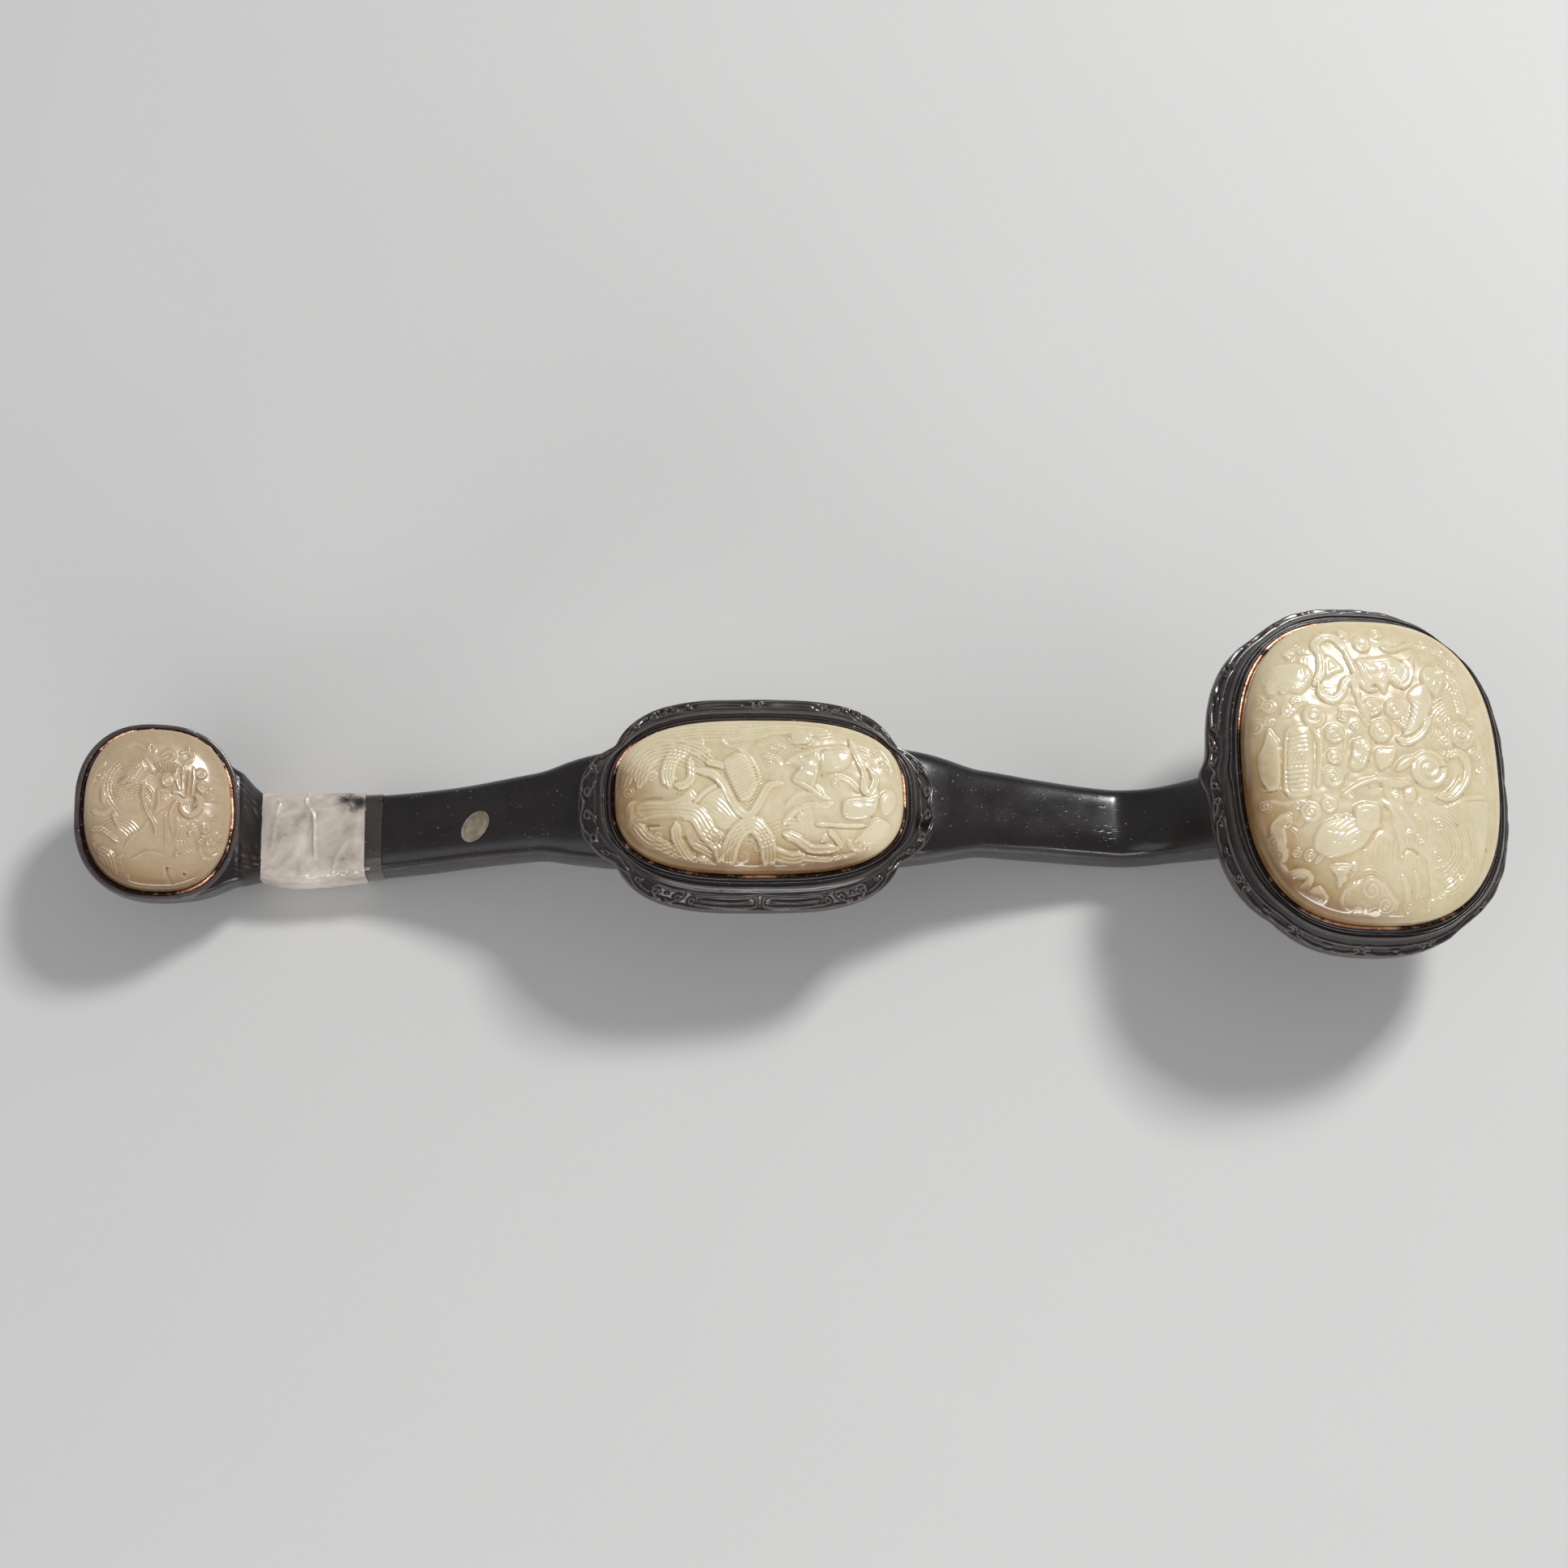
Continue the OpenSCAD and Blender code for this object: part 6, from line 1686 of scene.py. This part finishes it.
def tapeFinish():
    finish, tree, shader, place = newFinish("milkyTape", Coat_Weight=0.6, Coat_Roughness=0.1, IOR=1.48)
    fold = mask(tree, "fold")
    cloud = maths(tree, "ADD", noise(tree, place, 62.0, 5.0, 0.6, 0.9), maths(tree, "MULTIPLY", fold, 0.12))
    ragged = ramp(tree, noise(tree, place, 110.0, 5.0, 0.65, 1.2), [(0.34, grey(0.2)), (0.62, grey(1))])
    cloud = maths(
        tree, "SUBTRACT", cloud,
        maths(tree, "MULTIPLY", maths(tree, "MULTIPLY", mask(tree, "tight"), ragged), 0.34),
    )
    colour = ramp(tree, cloud, [
        (0.1, (0.02, 0.016, 0.015)), (0.26, (0.15, 0.122, 0.106)), (0.42, (0.46, 0.39, 0.335)),
        (0.7, (0.72, 0.635, 0.555)),
    ])
    tree.links.new(colour, shader.inputs["Base Color"])
    tree.links.new(
        ramp(tree, noise(tree, place, 80.0, 3.0), [(0.3, grey(0.22)), (0.7, grey(0.45))]),
        shader.inputs["Roughness"],
    )
    height = maths(
        tree, "MULTIPLY_ADD", noise(tree, place, 500.0, 3.0), 0.3,
        noise(tree, place, 140.0, 3.0, 0.5, 1.0),
    )
    tree.links.new(bump(tree, height, 0.3, 0.0006), shader.inputs["Normal"])
    return finish


def clearTapeFinish():
    finish, tree, shader, place = newFinish("clearTape", Coat_Weight=0.8, Coat_Roughness=0.08, IOR=1.48)
    colour = ramp(tree, noise(tree, place, 90.0, 4.0), [
        (0.3, (0.01, 0.007, 0.006)), (0.62, (0.03, 0.022, 0.019)), (0.8, (0.09, 0.075, 0.066)),
    ])
    dusty = useGroup(
        tree, dust, Place=place, Colour=colour, Dust=(0.45, 0.42, 0.4, 1), Film=0.05, Specks=0.7,
    )
    tree.links.new(dusty.outputs["Colour"], shader.inputs["Base Color"])
    tree.links.new(
        ramp(tree, noise(tree, place, 200.0, 3.0), [(0.3, grey(0.16)), (0.7, grey(0.4))]),
        shader.inputs["Roughness"],
    )
    tree.links.new(
        bump(tree, noise(tree, place, 240.0, 3.0, 0.5, 0.8), 0.3, 0.0004), shader.inputs["Normal"],
    )
    return finish


def paperFinish():
    finish, tree, shader, place = newFinish("agedPaper", IOR=1.45)
    colour = ramp(tree, noise(tree, place, 330.0, 5.0, 0.65), [
        (0.3, (0.15, 0.115, 0.08)), (0.55, (0.27, 0.22, 0.165)), (0.75, (0.36, 0.31, 0.24)),
    ])
    dusty = useGroup(
        tree, dust, Place=place, Colour=colour, Dust=(0.08, 0.06, 0.045, 1), Film=0.3, Specks=0.5,
    )
    tree.links.new(dusty.outputs["Colour"], shader.inputs["Base Color"])
    tree.links.new(
        ramp(tree, noise(tree, place, 300.0, 3.0), [(0.3, grey(0.45)), (0.7, grey(0.7))]),
        shader.inputs["Roughness"],
    )
    tree.links.new(bump(tree, noise(tree, place, 1500.0, 4.0, 0.7), 0.4, 0.00015), shader.inputs["Normal"])
    return finish


def puttyFinish():
    finish, tree, shader, place = newFinish("settingPutty")
    tree.links.new(
        ramp(tree, noise(tree, place, 260.0, 5.0), [(0.3, (0.16, 0.1, 0.06)), (0.7, (0.33, 0.23, 0.15))]),
        shader.inputs["Base Color"],
    )
    tree.links.new(
        ramp(tree, noise(tree, place, 500.0, 3.0), [(0.3, grey(0.7)), (0.7, grey(0.9))]),
        shader.inputs["Roughness"],
    )
    tree.links.new(bump(tree, noise(tree, place, 700.0, 4.0, 0.7), 0.6, 0.0004), shader.inputs["Normal"])
    return finish


zitan = woodFinish("darkWood", (0.003, 0.002, 0.002, 1), (0.013, 0.008, 0.0075, 1), 0.23, 0.008, 0.5)
dowelWood = woodFinish("dowelWood", (0.36, 0.23, 0.12, 1), (0.58, 0.42, 0.26, 1), 0.55, 0.1, 0.2)
celadon = jadeFinish(
    "celadonJade", (0.78, 0.69, 0.50, 1), (0.68, 0.61, 0.40, 1), (0.58, 0.42, 0.19, 1),
    (0.34, 0.195, 0.065, 1), (0.17, 0.08, 0.022, 1), 0.17
)
beige = jadeFinish(
    "beigeJade", (0.56, 0.43, 0.28, 1), (0.48, 0.37, 0.235, 1), (0.42, 0.275, 0.14, 1),
    (0.30, 0.18, 0.08, 1), (0.17, 0.09, 0.04, 1), 0.2
)
copper, milky, clear = copperFinish(), tapeFinish(), clearTapeFinish()
paper, putty = paperFinish(), puttyFinish()

assembly = [
    # piece, finish, slot, CAD node it stands for
    (woodPieces["tailSection"], zitan, "wood", "tail_section"),
    (woodPieces["leftShaft"], zitan, "wood", "left_shaft"),
    (woodPieces["midMount"], zitan, "wood", "mid_mount"),
    (woodPieces["rightShaft"], zitan, "wood", "right_shaft"),
    (woodPieces["headMount"], zitan, "wood", "head_mount"),
    (jadePieces["tailJade"], beige, "warm_jade", "tail_plaque"),
    (jadePieces["midJade"], celadon, "jade", "mid_plaque"),
    (jadePieces["headJade"], celadon, "jade", "head_plaque"),
    (fillets["tailFillet"], copper, "copper", "tail_fillet"),
    (fillets["midFillet"], copper, "copper", "mid_fillet"),
    (fillets["headFillet"], copper, "copper", "head_fillet"),
    (tapeOuter, milky, "tape", "tape_outer_lap"),
    (labelPaper, paper, "label", "oval_label"),
]
for piece, finish, slotName, nodeName in assembly:
    piece.data.materials.clear()
    piece.data.materials.append(finish)
    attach(piece, "root")
    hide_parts(nodeName)
for nodeName, finish in {
    "tail_bed": putty, "mid_bed": putty, "head_bed": putty, "repair_dowel": dowelWood,
    "tape_inner_lap": clear,
}.items():
    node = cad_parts[nodeName]
    node.data.materials.clear()
    node.data.materials.append(finish)
print("finishes set on", len(assembly), "pieces and 5 CAD nodes")


# Table, backdrop, lamps and camera
stageSpec = {
    "table": 6.0, "tableColour": (0.66, 0.655, 0.645), "key": 24.0, "fill": 2.2, "strip": 4.2,
    "sky": 0.34,
}


def stageFinish(name, colour, rough):
    finish, tree, shader, place = newFinish(name)
    tone = ramp(tree, noise(tree, place, 3.0, 4.0), [(0.3, tuple(c * 0.97 for c in colour)), (0.7, colour)])
    tree.links.new(tone, shader.inputs["Base Color"])
    shader.inputs["Roughness"].default_value = rough
    return finish


clearSelection()
bpy.ops.mesh.primitive_plane_add(size=stageSpec["table"], location=(0, 0, -0.0004))
table = named(bpy.context.object, "table")
bpy.ops.mesh.primitive_plane_add(
    size=stageSpec["table"], location=(0, stageSpec["table"] / 2, stageSpec["table"] / 2),
    rotation=(math.pi / 2, 0, 0),
)
backdrop = named(bpy.context.object, "backdrop")
table.data.materials.append(stageFinish("paleTable", stageSpec["tableColour"], 0.6))
backdrop.data.materials.append(stageFinish("paleBackdrop", (0.8, 0.8, 0.79), 0.9))


def lamp(name, place, target, size, watts, tall=None):
    clearSelection()
    bpy.ops.object.light_add(type="AREA", location=place)
    light = named(bpy.context.object, name)
    light.data.shape = "RECTANGLE"
    light.data.size, light.data.size_y = size, tall or size
    light.data.energy = watts
    aim = np.array(target) - np.array(place)
    z = -aim / np.linalg.norm(aim)
    x = np.cross((0, 1, 0) if abs(z[2]) > 0.9 else (0, 0, 1), z)
    x = x / np.linalg.norm(x)
    y = np.cross(z, x)
    light.matrix_world = Matrix([
        [x[0], y[0], z[0], place[0]], [x[1], y[1], z[1], place[1]], [x[2], y[2], z[2], place[2]],
        [0, 0, 0, 1],
    ])
    return light


lamp("keyLamp", (0.85, 0.95, 1.45), (0.02, 0, 0.04), 0.34, stageSpec["key"], 0.34)
lamp("fillLamp", (-0.9, -0.5, 0.9), (0, 0, 0.04), 0.9, stageSpec["fill"], 0.9)
lamp("stripLamp", (0.1, -0.95, 0.28), (0, 0, 0.02), 1.1, stageSpec["strip"], 0.12)
sky = bpy.data.worlds.new("studioSky")
sky.use_nodes = True
sky.node_tree.nodes["Background"].inputs["Color"].default_value = (0.95, 0.97, 1, 1)
sky.node_tree.nodes["Background"].inputs["Strength"].default_value = stageSpec["sky"]
bpy.context.scene.world = sky
bpy.context.scene.view_settings.view_transform = "Standard"

clearSelection()
bpy.ops.object.camera_add()
camera = named(bpy.context.object, "camera")
camera.matrix_world = Matrix([
    *((*axes, place) for axes, place in zip(cameraAxes.tolist(), cameraSpec["place"])), (0, 0, 0, 1),
])
camera.data.lens = cameraSpec["lens"]
camera.data.sensor_width = cameraSpec["sensor"]
camera.data.clip_start = 0.01
bpy.context.scene.camera = camera
print("stage, lamps and camera set")
